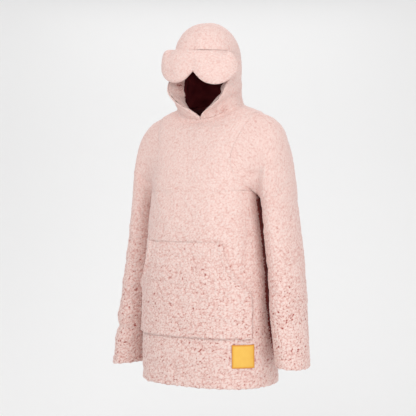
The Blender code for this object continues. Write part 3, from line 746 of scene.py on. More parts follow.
def fleece_material(colours):
    """Polyester sherpa, knitted and brushed into curls: pale tips and darker roots, partly
    painted shade between the curls, and painted shade in the crevices; no gloss.
    """
    name = "brushed polyester sherpa"
    if name in bpy.data.materials:
        return bpy.data.materials[name]
    material, tree, shader = new_material(name, {
        "Roughness": 0.95, "Specular IOR Level": 0.15, "Sheen Weight": 0.30,
        "Sheen Roughness": 0.45, "Sheen Tint": linear("#FFF4F6")})
    place = node(tree, "ShaderNodeTexCoord").outputs["Object"]
    height = node(tree, "ShaderNodeAttribute", {"attribute_name": "pile"}).outputs["Fac"]
    reverse = node(tree, "ShaderNodeAttribute", {"attribute_name": "reverse"}).outputs["Fac"]
    # Fibres of a curl, 2.5 mm, drawn coarser than the real 0.02 mm so that they show
    fibres = node(
        tree, "ShaderNodeTexNoise", {}, {"Scale": 380.0, "Detail": 4.0, "Roughness": 0.65},
        {"Vector": place})
    curls = node(
        tree, "ShaderNodeTexVoronoi", {"feature": "F1"}, {"Scale": 190.0, "Randomness": 1.0},
        {"Vector": place})
    # Darker away from the small curls' middles: partly their own random tone, partly painted shade
    # between them
    depth = node(
        tree, "ShaderNodeMath", {"operation": "MULTIPLY_ADD"}, {1: -0.40},
        {0: curls.outputs["Distance"], 2: height})
    tone = node(
        tree, "ShaderNodeMath", {"operation": "MULTIPLY_ADD"}, {1: 0.5},
        {0: fibres.outputs["Fac"], 2: depth.outputs[0]})
    # From the painted-shade colour at 0 through the roots and the middle to the tips; the roots'
    # colour is partly painted shade between the curls
    ramp = node(tree, "ShaderNodeValToRGB", {}, {}, {"Fac": tone.outputs[0]})
    set_stops(
        ramp, (0.0, colours.fleece_painted_shade), (0.85, colours.fleece_tip),
        (0.14, colours.fleece_root), (0.50, colours.fleece_middle))
    sides = node(
        tree, "ShaderNodeMix", {"data_type": "RGBA"}, {7: linear(colours.lining)},
        {0: reverse, 6: ramp.outputs["Color"]})
    rough = node(
        tree, "ShaderNodeMath", {"operation": "MULTIPLY_ADD"}, {1: -0.5},
        {0: curls.outputs["Distance"], 2: fibres.outputs["Fac"]})
    bump = node(
        tree, "ShaderNodeBump", {}, {"Strength": 0.55, "Distance": 0.0014},
        {"Height": rough.outputs[0]})
    link(tree, shader, {"Base Color": sides.outputs[2], "Normal": bump.outputs["Normal"]})
    return material


def lining_material(colours):
    """Polyester jersey, knitted fine and dyed maroon: matte, almost black in shade."""
    material, tree, shader = new_material(
        "maroon polyester jersey", {"Roughness": 0.9, "Specular IOR Level": 0.1})
    place = node(tree, "ShaderNodeTexCoord").outputs["Object"]
    # Knit ribs 3 mm apart, drawn coarser than the real 1 mm so that they show
    ribs = node(
        tree, "ShaderNodeTexWave", {"bands_direction": "X"},
        {"Scale": 105.0, "Distortion": 0.6, "Detail": 1.0, "Detail Scale": 2.0},
        {"Vector": place})
    patches = node(
        tree, "ShaderNodeTexNoise", {}, {"Scale": 30.0, "Detail": 3.0}, {"Vector": place})
    ramp = node(tree, "ShaderNodeValToRGB", {}, {}, {"Fac": patches.outputs["Fac"]})
    set_stops(ramp, (0.3, colours.lining_dark), (0.7, colours.lining))
    bump = node(
        tree, "ShaderNodeBump", {}, {"Strength": 0.35, "Distance": 0.0005},
        {"Height": ribs.outputs["Fac"]})
    link(tree, shader, {"Base Color": ramp.outputs["Color"], "Normal": bump.outputs["Normal"]})
    return material


def label_material(colours):
    """Woven satin ribbon: yellow threads in a fine twill, a little gloss along the weft."""
    material, tree, shader = new_material(
        "woven polyester satin", {"Roughness": 0.55, "Sheen Weight": 0.15})
    place = node(tree, "ShaderNodeUVMap", {"uv_map": "cloth"}).outputs["UV"]
    # Threads 1.5 mm apart, drawn coarser than the real 0.3 mm so that they show
    weft, warp = (
        node(
            tree, "ShaderNodeTexWave", {"bands_direction": way, "wave_profile": "SIN"},
            {"Scale": 210.0, "Distortion": 0.3}, {"Vector": place})
        for way in "YX")
    weave = node(
        tree, "ShaderNodeMath", {"operation": "MULTIPLY"}, {},
        {0: weft.outputs["Fac"], 1: warp.outputs["Fac"]})
    edge = node(tree, "ShaderNodeAttribute", {"attribute_name": "border"}).outputs["Fac"]
    cloud = node(
        tree, "ShaderNodeTexNoise", {}, {"Scale": 60.0, "Detail": 3.0}, {"Vector": place})
    tone = node(
        tree, "ShaderNodeMath", {"operation": "MULTIPLY_ADD"}, {1: 0.35},
        {0: cloud.outputs["Fac"], 2: edge})
    ramp = node(tree, "ShaderNodeValToRGB", {}, {}, {"Fac": tone.outputs[0]})
    set_stops(ramp, (0.08, colours.label), (1.0, colours.label_border))
    bump = node(
        tree, "ShaderNodeBump", {}, {"Strength": 0.3, "Distance": 0.0003},
        {"Height": weave.outputs[0]})
    link(tree, shader, {"Base Color": ramp.outputs["Color"], "Normal": bump.outputs["Normal"]})
    return material


def thread_material(colours):
    """Twisted polyester sewing thread, dyed to the label's border."""
    material, tree, shader = new_material("polyester sewing thread", {"Roughness": 0.6})
    place = node(tree, "ShaderNodeTexCoord").outputs["Object"]
    twist = node(
        tree, "ShaderNodeTexNoise", {}, {"Scale": 900.0, "Detail": 2.0}, {"Vector": place})
    ramp = node(tree, "ShaderNodeValToRGB", {}, {}, {"Fac": twist.outputs["Fac"]})
    set_stops(ramp, (0.0, colours.label_border), (1.0, colours.label))
    link(tree, shader, {"Base Color": ramp.outputs["Color"]})
    return material


def paper_material(colours):
    """Matte studio paper: pale grey, with a faint tooth, and clear from behind, so that a
    camera there sees the hoodie too."""
    material, tree, shader = new_material("matte studio paper", {
        "Base Color": linear(colours.backdrop), "Roughness": 1.0, "Specular IOR Level": 0.0})
    place = node(tree, "ShaderNodeTexCoord").outputs["Object"]
    tooth = node(
        tree, "ShaderNodeTexNoise", {}, {"Scale": 700.0, "Detail": 2.0}, {"Vector": place})
    bump = node(
        tree, "ShaderNodeBump", {}, {"Strength": 0.05, "Distance": 0.0002},
        {"Height": tooth.outputs["Fac"]})
    link(tree, shader, {"Normal": bump.outputs["Normal"]})
    back = node(tree, "ShaderNodeNewGeometry").outputs["Backfacing"]
    clear = node(tree, "ShaderNodeBsdfTransparent").outputs["BSDF"]
    one_sided = node(
        tree, "ShaderNodeMixShader", {}, {}, {0: back, 1: shader.outputs["BSDF"], 2: clear})
    link(tree, tree.nodes["Material Output"], {"Surface": one_sided.outputs[0]})
    return material


def mesh_object(name, points, faces, material, attributes=None, uv=None, smooth=None):
    """Object from an array of points and arrays of faces, each with its own count of
    corners, with point attributes and a UV map. The arrays up to smooth are shaded so."""
    mesh = bpy.data.meshes.new(name)
    mesh.vertices.add(len(points))
    mesh.vertices.foreach_set("co", np.ascontiguousarray(points, np.float32).ravel())
    counts = np.concatenate([np.full(len(f), f.shape[1]) for f in faces])
    corners = np.concatenate([f.ravel() for f in faces]).astype(np.int32)
    mesh.loops.add(len(corners))
    mesh.loops.foreach_set("vertex_index", corners)
    mesh.polygons.add(len(counts))
    starts = np.concatenate([[0], np.cumsum(counts)[:-1]]).astype(np.int32)
    mesh.polygons.foreach_set("loop_start", starts)
    rounded = sum(len(f) for f in faces[:smooth])
    mesh.polygons.foreach_set("use_smooth", np.arange(len(counts)) < rounded)
    for key, values in (attributes or {}).items():
        layer = mesh.attributes.new(key, "FLOAT", "POINT")
        layer.data.foreach_set("value", np.ascontiguousarray(values, np.float32).ravel())
    mesh.update(calc_edges=True)
    if uv is not None:
        layer = mesh.uv_layers.new(name="cloth")
        layer.data.foreach_set("uv", uv[corners].astype(np.float32).ravel())
    mesh.validate()
    mesh.materials.append(material)
    made = bpy.data.objects.new(name, mesh)
    bpy.context.scene.collection.objects.link(made)
    return made


def grid_quads(index, closed):
    """Faces of a grid of point numbers, wrapped round where it is closed, or of a stack of
    grids."""
    if closed:
        index = np.concatenate([index, index[..., :1]], axis=-1)
    a, b = index[..., :-1, :-1], index[..., :-1, 1:]
    d, c = index[..., 1:, :-1], index[..., 1:, 1:]
    return np.stack([a, b, c, d], axis=-1).reshape(-1, 4)


def rim_strip(fine, coarse):
    """Triangles that join a closed fine edge to one with COARSE times fewer points."""
    fine = np.append(fine, fine[0])
    i, j = coarse, np.roll(coarse, -1)
    o = [fine[k:len(fine) - COARSE + k:COARSE] for k in range(COARSE + 1)]
    corners = [(o[1], o[0], i), (o[2], o[1], i), (o[2], i, j), (o[3], o[2], j), (o[4], o[3], j)]
    return np.concatenate([np.stack(c, axis=-1) for c in corners])


def border(index):
    """Point numbers round a grid: along the bottom, up, back along the top and down."""
    return np.concatenate([index[0, :-1], index[:-1, -1], index[-1, :0:-1], index[:0:-1, 0]])


def cloth(name, outer, inner, normal, material, closed=False, attributes=None, under=None,
          uv=None):
    """Wall of cloth: a fine outer grid, every COARSE-th point of the inner grid and the
    strips that join their edges, with its faces pointing out. The inner grid takes the
    outer one's attributes, but those given for it."""
    rows, columns = outer.shape[:2]
    small = inner[::COARSE, ::COARSE]
    index = np.arange(rows * columns).reshape(rows, columns)
    behind = np.arange(small.shape[0] * small.shape[1]).reshape(small.shape[:2]) + index.size
    quads = grid_quads(index, closed)
    back = grid_quads(behind, closed)[:, ::-1]
    if closed:
        strips = [
            rim_strip(index[0], behind[0]), rim_strip(index[-1, ::-1], behind[-1, ::-1])]
    else:
        strips = [rim_strip(border(index), border(behind))]
    around = np.diff(outer[:-1], axis=1)
    along = np.diff(outer[:, :-1], axis=0)
    way = np.sum(np.cross(around, along) * normal[:-1, :-1])
    faces = [quads, back, *strips]
    if way < 0:
        faces = [f[:, ::-1] for f in faces]
    points = np.concatenate([outer.reshape(-1, 3), small.reshape(-1, 3)])
    inside = {**(attributes or {}), **(under or {})}
    layers = {
        key: np.concatenate([values.ravel(), inside[key][::COARSE, ::COARSE].ravel()])
        for key, values in (attributes or {}).items()
    }
    if uv is not None:
        uv = np.concatenate([uv.reshape(-1, 2), uv[::COARSE, ::COARSE].reshape(-1, 2)])
    # The strips are flat, so that two cloths that meet at a seam shade as one
    return mesh_object(name, points, faces, material, layers, uv, smooth=2)


def fleece_cloth(name, base, normal, shape, scene, thickness=FLEECE, closed=False, rounding=0.0,
                 rolled=0.0, keep=1.0, painted_shade_share=0.0, reverse=None):
    """Wall of sherpa on a base grid: the outer face stands off it by shape, the nap and the
    pile, kept to a share. Both faces fall to the middle at rounded edges, and the outer
    one to the inner at rolled ones. Its colour is painted darker by a share, as painted
    shade, and its inner face is the knit's dark reverse where that is given as 1."""
    sizes = scene.hoodie_sizes
    curls = pile(base, sizes)
    lift = shape + (nap(base) + (curls - 0.5) * sizes.pile_height * growth(base)) * keep
    outer = base + (lift - rounding - rolled)[..., None] * normal
    inner = base + (np.minimum(shape, 0.0) + rounding - thickness)[..., None] * normal
    grown = growth(base)
    # Tone: pale at the curls' tips and darker at their roots, partly the fleece's own random tone
    # and partly painted shade between the curls, with more spread towards the hem. The whole is
    # painted darker towards the hem as shade, and darker by a share as painted shade.
    tone = MIDDLE_TONE + (curls - 0.5) * keep * grown ** 1.5 - 0.12 * (grown - 0.7) - painted_shade_share
    # Painted shade in the crevice between a sleeve and the body, and painted shadows under the eye
    # mask and at the neck
    tone -= 1.5 * crevice(base) + shade(base)
    plain = np.zeros_like(tone)
    return cloth(
        name, outer, inner, normal, fleece_material(scene.hoodie_colours), closed,
        {"pile": tone, "reverse": plain}, {"reverse": plain if reverse is None else reverse})


def finish_cloth(piece, nodes):
    """Seats a cloth piece on the body and hides the solids that it stands for."""
    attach(piece, "root")
    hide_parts(*nodes)


def panel_grid(face):
    """Grid of the front or the back: rows of equal steps from the right side seam to the
    left one, from the hem to the neck, with the armhole's rows spaced as on an ellipse."""
    below = np.linspace(0.0, ARMPIT, BODY_CELLS["below"] + 1)[:-1]
    above = np.linspace(SHOULDER, NECK, BODY_CELLS["above"] + 1)[1:]
    levels = np.concatenate([below, HOLE_LEVELS, above])
    shares = np.linspace(0.0, 1.0, BODY_CELLS[face] + 1)
    way = -1 if face == "front" else 1
    quarter = way * np.pi / 2
    edge = way * armhole_angle(levels, face)
    left = row_angles(levels, np.full(len(levels), quarter), edge, shares)
    angles = np.concatenate([(2 * quarter - left)[:, ::-1], left[:, 1:]], axis=1)
    heights = np.repeat(levels[:, None], angles.shape[1], axis=1)
    return angles, heights


class HoodieSizes(bpy.types.PropertyGroup):
    """Sizes of the cloth that a user would change"""
    pile_height: FloatProperty(
        name="Pile height", description="How far the curls stand off the cloth",
        default=0.0026, min=0.0, max=0.006, subtype="DISTANCE", unit="LENGTH")
    tuft: FloatProperty(
        name="Tuft size", description="Distance between the middles of two curls",
        default=0.0085, min=0.004, max=0.03, subtype="DISTANCE", unit="LENGTH")
    hem: FloatProperty(
        name="Hem", description="Depth of the turned hems",
        default=0.026, min=0.01, max=0.06, subtype="DISTANCE", unit="LENGTH")
    padding: FloatProperty(
        name="Mask padding", description="How far the eye mask's padding swells forward",
        default=0.013, min=0.004, max=0.02, subtype="DISTANCE", unit="LENGTH")


class HoodieColours(bpy.types.PropertyGroup):
    """Colours of the cloth, as sRGB hex values"""
    fleece_tip: StringProperty(
        name="Fleece tips", description="Colour of the curls' tips", default="#EAD3CC")
    fleece_middle: StringProperty(
        name="Fleece", description="Colour of the pile between tips and roots", default="#E5C5BD")
    fleece_root: StringProperty(
        name="Fleece roots", description="Colour between the curls", default="#D2A39A")
    # Painted shade: the colour painted into the crevices between the sleeves and the body, into
    # the shadows under the eye mask and at the neck, and into the darkest roots between the curls
    fleece_painted_shade: StringProperty(
        name="Fleece depths", description="Colour where the pile is pressed apart",
        default="#8E2C20")
    lining: StringProperty(
        name="Lining", description="Colour of the hood's lining", default="#7C3032")
    lining_dark: StringProperty(
        name="Lining shade", description="Colour of the lining's darker patches",
        default="#541A20")
    label: StringProperty(
        name="Label", description="Colour of the label", default="#EBBB4C")
    label_border: StringProperty(
        name="Label border", description="Colour of the label's edge and thread",
        default="#D8891F")
    backdrop: StringProperty(
        name="Backdrop", description="Colour of the studio paper", default="#F2F2F2")


class HOODIE_OT_body(bpy.types.Operator):
    """Sews the front and the back"""
    bl_idname = "hoodie.body"
    bl_label = "Body"

    def execute(self, context):
        hem = context.scene.hoodie_sizes.hem
        for face, table in (("front", FRONT_CREASES), ("back", BACK_CREASES)):
            angles, levels = panel_grid(face)
            base = ragged(garment(angles, levels), levels)
            normal = garment_normal(angles, levels)
            run = runs(base)
            middle = base.shape[1] // 2
            across = run["first"] - run["first"][:, middle:middle + 1]
            up = hermite(LEVELS, RINGS[:, 0], levels)
            covered = label_cover(across, up) * (face == "front")
            swell, rounding, reverse = turned_hem(run["bottom"], hem)
            shape = creases(across, up, table) * beside_seam(np.minimum(run["first"], run["last"]))
            shape += swell + seam_dip(run["top"], NECK_DIP)
            shape = shape * (1 - covered) - LABEL_SINK * covered
            piece = fleece_cloth(
                face + "_cloth", base, normal, shape, context.scene, FLEECE + TURNED_EXTRA,
                rounding=rounding, keep=1 - covered, reverse=reverse)
            finish_cloth(piece, [face])
        return {"FINISHED"}


def sleeve_grid(side):
    """Grid of a sleeve: ring 0 is the armhole, and each later ring is an ellipse between
    its top and its underarm point. The armhole's outline fades over the first sections."""
    rows = np.array(SLEEVE_SECTIONS)
    knots = np.arange(len(rows))
    fine = np.linspace(0, knots[-1], 600)
    table = hermite(knots, rows, fine)
    middle = np.stack([table[:, 0] + table[:, 2], table[:, 1] + table[:, 3]], axis=-1) / 2
    run = measured(middle, 0)
    places = np.interp(np.linspace(0.0, run[-1], SLEEVE_CELLS + 1), run, fine)
    section = dict(zip(SLEEVE_COLUMNS, hermite(knots, rows, places).T))
    turn = np.linspace(0.0, 2 * np.pi, 2 * ARMHOLE_CELLS, endpoint=False)
    top = np.stack([section["top_x"], section["mid_y"], section["top_z"]], axis=-1)
    under = np.stack([section["under_x"], section["mid_y"], section["under_z"]], axis=-1)
    reach = (top - under) / 2
    rings = ((top + under) / 2)[:, None] - np.cos(turn)[None, :, None] * reach[:, None]
    rings[..., 1] -= section["depth"][:, None] * np.sin(turn)
    back_levels = HOLE_LEVELS[-2:0:-1]
    heights = np.concatenate([HOLE_LEVELS, back_levels])
    angles = np.concatenate([
        -armhole_angle(HOLE_LEVELS, "front"), armhole_angle(back_levels, "back")])
    loop = garment(angles, heights)
    fade = clamp(1 - places / ARMHOLE_FADE)[:, None, None] ** 2
    rings += fade * (loop - rings[0])
    length = ARMPIT_Z - rows[-1, SLEEVE_COLUMNS.index("under_z")]
    below = np.clip((ARMPIT_Z - rings[..., 2]) / length, 0.0, None)
    below[0] = 0.0
    rings[..., 2] -= CUFF_DROP[side] * below
    around = np.roll(rings, -1, axis=1) - np.roll(rings, 1, axis=1)
    along = np.gradient(rings, axis=0)
    normal = unit(np.cross(along, around))
    outward = np.sum(normal * (rings - rings.mean(axis=1, keepdims=True)), axis=(1, 2))
    normal *= np.sign(outward)[:, None, None]
    # Beside the seam both cloths face the same way, so that neither stands over the other
    blend = bell(runs(rings)["bottom"], 0.025)[..., None]
    normal = unit(normal * (1 - blend) + garment_normal(angles, heights) * blend)
    return rings * MIRROR[side], normal * MIRROR[side]


class HOODIE_OT_sleeves(bpy.types.Operator):
    """Sews both sleeves"""
    bl_idname = "hoodie.sleeves"
    bl_label = "Sleeves"

    def execute(self, context):
        hem = context.scene.hoodie_sizes.hem
        for side, table in (("left", LEFT_CREASES), ("right", RIGHT_CREASES)):
            base, normal = sleeve_grid(side)
            base = ragged(base, runs(base)["top"])
            run = runs(base)
            round_it = measured(np.concatenate([base, base[:, :1]], axis=1), 1)
            across = round_it[:, :-1]
            girth = round_it[:, -1:]
            down = run["bottom"][:, ARMHOLE_CELLS:ARMHOLE_CELLS + 1] + 0 * across
            swell, rounding, reverse = turned_hem(run["top"], hem)
            shape = creases(across, down, table) + creases(across - girth, down, table)
            shape = shape * beside_seam(run["bottom"]) + swell
            shape += seam_dip(np.minimum(across, girth - across), UNDERARM_DIP)
            # The sleeves' fleece is painted a little darker than the body's, as painted shade
            piece = fleece_cloth(
                f"sleeve_{side}_cloth", base, normal, shape, context.scene, FLEECE + TURNED_EXTRA,
                closed=True, rounding=rounding, painted_shade_share=0.04, reverse=reverse)
            finish_cloth(piece, ["sleeve_" + side])
        return {"FINISHED"}


def rim_angle(levels):
    """Angle of the face opening's rim on the hood's rings, and the front above the brim."""
    heights, forward = np.array(RIM).T
    rim_y = hermite(level_at(heights), forward, levels)
    fine = np.linspace(-np.pi / 2, np.pi / 2, 2000)
    y = garment(fine[None, :], levels[:, None], turn=False)[..., 1]
    full = np.array([np.interp(max(a, b[0]), b, fine) for a, b in zip(rim_y, y)])
    opened = clamp((levels - NECK) / V_LENGTH)
    return np.where(levels >= BRIM, 0.0, (full + np.pi / 2) * opened) - np.pi / 2


def hood_grid(side, levels, wanted):
    """Grid of one half of the hood, with its normals and its shape, at the shares wanted of
    its rows, from the rim at 0 to the centre back at 1."""
    shares = np.linspace(0.0, 1.0, 200)
    end = np.full(len(levels), np.pi / 2)
    whole = row_angles(levels, rim_angle(levels), end, shares)
    angles = np.array([np.interp(wanted, shares, a) for a in whole])
    length = measured(garment(whole, levels[:, None]), 1)[:, -1:]
    across = length * wanted
    if side == "right":
        angles = np.pi - angles
    levels = np.repeat(levels[:, None], angles.shape[1], axis=1)
    base = garment(angles, levels)
    normal = garment_normal(angles, levels)
    return base, normal, hood_shape(side, across, length - across, levels)


def hood_shape(side, across, behind, levels):
    """How far the hood's cloth stands off its base at distances from the rim and from the
    centre back: its creases, the troughs at its seams and the swell of its rim."""
    up = hermite(LEVELS, RINGS[:, 0], levels)
    is_open = levels < BRIM
    pole = clamp((CROWN - levels) / 0.03)
    shape = creases(across, up, HOOD_CREASES[side]) * pole
    shape += seam_dip(behind, BACK_DIP) * pole + seam_dip(levels - NECK, NECK_DIP)
    shape += seam_dip(across, BROW_DIP) * pole * ~is_open
    return shape + 0.0012 * bell(across, 0.012) * is_open


def layer_inside(side, levels, wanted):
    """Grid on the inner side of the hood at the shares wanted of its rows, turned in towards
    its middle as the facing is, with the hood's normals."""
    base, normal, shape = hood_grid(side, levels, wanted)
    table = np.array(FACING_REACH)
    reach = hermite(level_at(table[:, 0]), table[:, 1:], levels)
    towards = np.array([-MIRROR[side][0], 1.0, 0.0])
    move = turned(np.pad(reach, ((0, 0), (0, 1))) * towards, HOOD_TURN)
    part = np.interp(wanted, np.linspace(0.0, 1.0, len(REACH_SHARES)), REACH_SHARES)
    sunk = np.minimum(shape, 0.0) * (1 - part)
    base = base + (sunk - FLEECE - LAYER_GAP)[..., None] * normal
    return base + part[None, :, None] * move[:, None], normal


class HOODIE_OT_hood(bpy.types.Operator):
    """Sews the two halves of the hood"""
    bl_idname = "hoodie.hood"
    bl_label = "Hood"

    def execute(self, context):
        levels = np.concatenate([
            np.linspace(NECK, BRIM, HOOD_CELLS["open"] + 1),
            np.linspace(BRIM, CROWN, HOOD_CELLS["closed"] + 1)[1:]])
        wanted = np.linspace(0.0, 1.0, HOOD_CELLS["round"] + 1)
        for side in MIRROR:
            base, normal, shape = hood_grid(side, levels, wanted)
            rolled = edge_round(runs(base)["first"], HOOD_ROLL) * (levels < BRIM)[:, None]
            piece = fleece_cloth(
                f"hood_{side}_cloth", base, normal, shape, context.scene, rolled=rolled)
            finish_cloth(piece, ["hood_" + side])
        return {"FINISHED"}


class HOODIE_OT_facing(bpy.types.Operator):
    """Turns the fleece facing in round the face opening"""
    bl_idname = "hoodie.facing"
    bl_label = "Facing"

    def execute(self, context):
        levels = np.linspace(NECK + 0.002, CROWN - CROWN_GAP, FACING_CELLS[0] + 1)
        wanted = np.linspace(RIM_SHARE, FACING_SHARE - LAYERS_APART, FACING_CELLS[1] + 1)
        for side in MIRROR:
            base, normal = layer_inside(side, levels, wanted)
            run = runs(base)
            curls = pile(base, context.scene.hoodie_sizes)
            rounding = edge_round(run["last"], FACING_EDGE)
            rolled = edge_round(run["first"], FACING_RIM) * (levels < BRIM)[:, None]
            depth = FACING + (curls - 0.5) * FACING_PILE - rounding - rolled
            inner = base - (FACING_OFF + rounding)[..., None] * normal
            outer = base - depth[..., None] * normal
            # The facing's tone is the curls' tone, partly painted shade between them, less the
            # painted shadow under the eye mask's far lobe
            piece = cloth(
                f"hood_facing_{side}_cloth", outer, inner, -normal,
                fleece_material(context.scene.hoodie_colours),
                attributes={"pile": 0.25 + 0.6 * curls - shade(base)})
            finish_cloth(
                piece, ["hood_facing_" + side])
        return {"FINISHED"}


class HOODIE_OT_lining(bpy.types.Operator):
    """Lines the hood with dark jersey"""
    bl_idname = "hoodie.lining"
    bl_label = "Lining"

    def execute(self, context):
        levels = np.linspace(NECK, CROWN - CROWN_GAP, LINING_CELLS[0] + 1)
        wanted = np.linspace(FACING_SHARE + LAYERS_APART, 1.0, LINING_CELLS[1] + 1)
        left, right = (layer_inside(side, levels, wanted) for side in MIRROR)
        base, normal = (
            np.concatenate([a, b[:, -2::-1]], axis=1) for a, b in zip(left, right))
        ripple = 0.0008 * smooth_noise(base, 0.03, 23)
        outer = base - (LINING + ripple)[..., None] * normal
        piece = cloth(
            "hood_lining_cloth", outer, base, -normal,
            lining_material(context.scene.hoodie_colours))
        finish_cloth(
            piece, ["hood_lining"])
        return {"FINISHED"}


def front_surface(along, up, offset, one_ring=False):
    """Points and normals of the front panel at distances along the cloth from its middle
    and at heights, moved out by offset. The distances are measured on each row's own ring,
    or all on the one at their mean level."""
    levels = level_at(up)
    rows = np.full((len(levels), 1), levels.mean()) if one_ring else levels[:, :1]
    fine = np.linspace(-np.pi / 2, np.pi / 2 * 0.02, 400)
    run = measured(garment(fine[None, :], rows), 1)
    angles = np.array([np.interp(np.abs(a), r, fine) for a, r in zip(along, run)])
    angles = np.where(along < 0, -np.pi - angles, angles)
    normal = garment_normal(angles, levels)
    return garment(angles, levels) + offset * normal, normal


class HOODIE_OT_pocket(bpy.types.Operator):
    """Sews the kangaroo pocket on the front"""
    bl_idname = "hoodie.pocket"
    bl_label = "Pocket"

    def execute(self, context):
        heights, half = np.array(POCKET).T
        up = np.linspace(heights[0], heights[-1], POCKET_CELLS[0] + 1)
        half_width = np.interp(up, heights, half)
        half_width = np.convolve(np.pad(half_width, 4, mode="edge"), np.ones(9) / 9, mode="valid")
        along = half_width[:, None] * np.linspace(-1.0, 1.0, POCKET_CELLS[1] + 1)
        up = np.repeat(up[:, None], along.shape[1], axis=1)
        # The bottom and the top edge wave, as exp(-(d/30 mm)^2) and exp(-(d/20 mm)^2) from them
        line = np.stack([along, 0 * along, 0 * along], axis=-1)
        wave = 0.0035 * smooth_noise(line, 0.019, 37) + 0.0030 * smooth_noise(line, 0.060, 41)
        up = up + wave * bell(up - heights[0], 0.030)
        up += 0.4 * wave * bell(up - heights[-1], 0.020)
        base, normal = front_surface(along, up, FLEECE + POCKET_GAP)
        run = runs(base)
        side = np.minimum(run["first"], run["last"])
        # The hand openings gape and have a thick edge with a row of stitches behind it
        mouth = clamp((up - MOUTH_Z) / 0.012)
        thick = POCKET_GAPE * bell(side, 0.018) + 0.0012 * bell(side, 0.009)
        thick += seam_dip(side - 0.016, 0.0010, 0.0035)
        shape = creases(along, up, POCKET_CREASES) + thick * mouth
        shape += seam_dip(run["bottom"] - 0.012, 0.0010, 0.003)
        shape += seam_dip(run["top"] - 0.006, 0.0012, 0.004)
        turned_edge = FLEECE + 2 * TURNED_EXTRA
        rounding = edge_round(side, turned_edge) + edge_round(run["bottom"], turned_edge)
        rounding += edge_round(run["top"], FLEECE + TURNED_EXTRA)
        rounding = np.minimum(rounding, turned_edge / 2)
        piece = fleece_cloth(
            "pocket_cloth", base, normal, shape, context.scene, rounding=rounding)
        finish_cloth(
            piece, ["pocket"])
        return {"FINISHED"}


class HOODIE_OT_label(bpy.types.Operator):
    """Sews the square woven label on the front"""
    bl_idname = "hoodie.label"
    bl_label = "Label"

    def execute(self, context):
        colours = context.scene.hoodie_colours
        share = np.linspace(-0.5, 0.5, LABEL_CELLS + 1)
        along, up = np.meshgrid(share * LABEL_SIZE, share * LABEL_SIZE)
        base, normal = front_surface(LABEL_MID_ALONG + along, LABEL_MID_Z + up, LABEL_OFF)
        edge = LABEL_SIZE / 2 - np.maximum(np.abs(along), np.abs(up))
        puff = 0.0009 * clamp(edge / 0.012) + 0.0004 * smooth_noise(base, 0.018, 29)
        puff += seam_dip(edge - STITCH_INSET, 0.0007, 0.0011)
        rounding = edge_round(edge, LABEL_THICKNESS)
        outer = base + (puff - rounding)[..., None] * normal
        inner = base + (rounding - LABEL_THICKNESS)[..., None] * normal
        border_tone = clamp(1 - edge / LABEL_BORDER)
        uv = np.stack([along, up], axis=-1)
        piece = cloth(
            "label_cloth", outer, inner, normal, label_material(colours),
            attributes={"border": border_tone}, uv=uv)
        stitches = self.stitches(colours)
        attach(stitches, "root")
        finish_cloth(
            piece, ["label"])
        return {"FINISHED"}

    def stitches(self, colours):
        """Row of stitches round the label, 3.6 mm long and 5 mm apart: each is a tube whose
        radius swells as sin(pi t) and whose line arches out of the cloth the same way."""
        middle = (np.arange(STITCHES_EACH_SIDE) + 0.5) / STITCHES_EACH_SIDE * 2 - 1
        ones = np.ones(STITCHES_EACH_SIDE)
        inset = LABEL_SIZE / 2 - STITCH_INSET
        along = np.concatenate([middle, ones, middle, -ones])[:, None] * inset
        up = np.concatenate([-ones, middle, ones, middle])[:, None] * inset
        upright = np.repeat([False, True, False, True], STITCHES_EACH_SIDE)[:, None]
        t = np.linspace(0.0, 1.0, 7)
        shift = (t - 0.5) * STITCH_LENGTH
        spine, normal = front_surface(
            LABEL_MID_ALONG + along + np.where(upright, 0.0, shift),
            LABEL_MID_Z + up + np.where(upright, shift, 0.0), LABEL_OFF, one_ring=True)
        arch = np.sin(np.pi * t)
        spine = spine + STITCH_ARCH * arch[:, None] * normal
        aside = np.cross(unit(np.gradient(spine, axis=1)), normal)
        turn = np.linspace(0.0, 2 * np.pi, 6, endpoint=False)[:, None]
        ring = np.cos(turn) * aside[:, :, None] + np.sin(turn) * normal[:, :, None]
        radius = STITCH_RADIUS * (0.35 + 0.65 * arch)
        points = spine[:, :, None] + radius[:, None, None] * ring
        index = np.arange(points[..., 0].size).reshape(points.shape[:3])
        quads = grid_quads(index, True)[:, ::-1]
        caps = np.concatenate([index[:, 0, :], index[:, -1, ::-1]])
        return mesh_object(
            "label_stitches", points.reshape(-1, 3), [quads, caps], thread_material(colours))


def brim_y(x, height):
    """How far forward the hood's front lies at distances from its middle."""
    fine = np.linspace(-np.pi / 2, 0.0, 800)
    ring = garment(fine[None, :], level_at(height)[:, None], turn=False)
    return np.array([
        np.interp(min(abs(a), 0.88 * r[-1, 0]), r[:, 0], r[:, 1]) for a, r in zip(x, ring)])


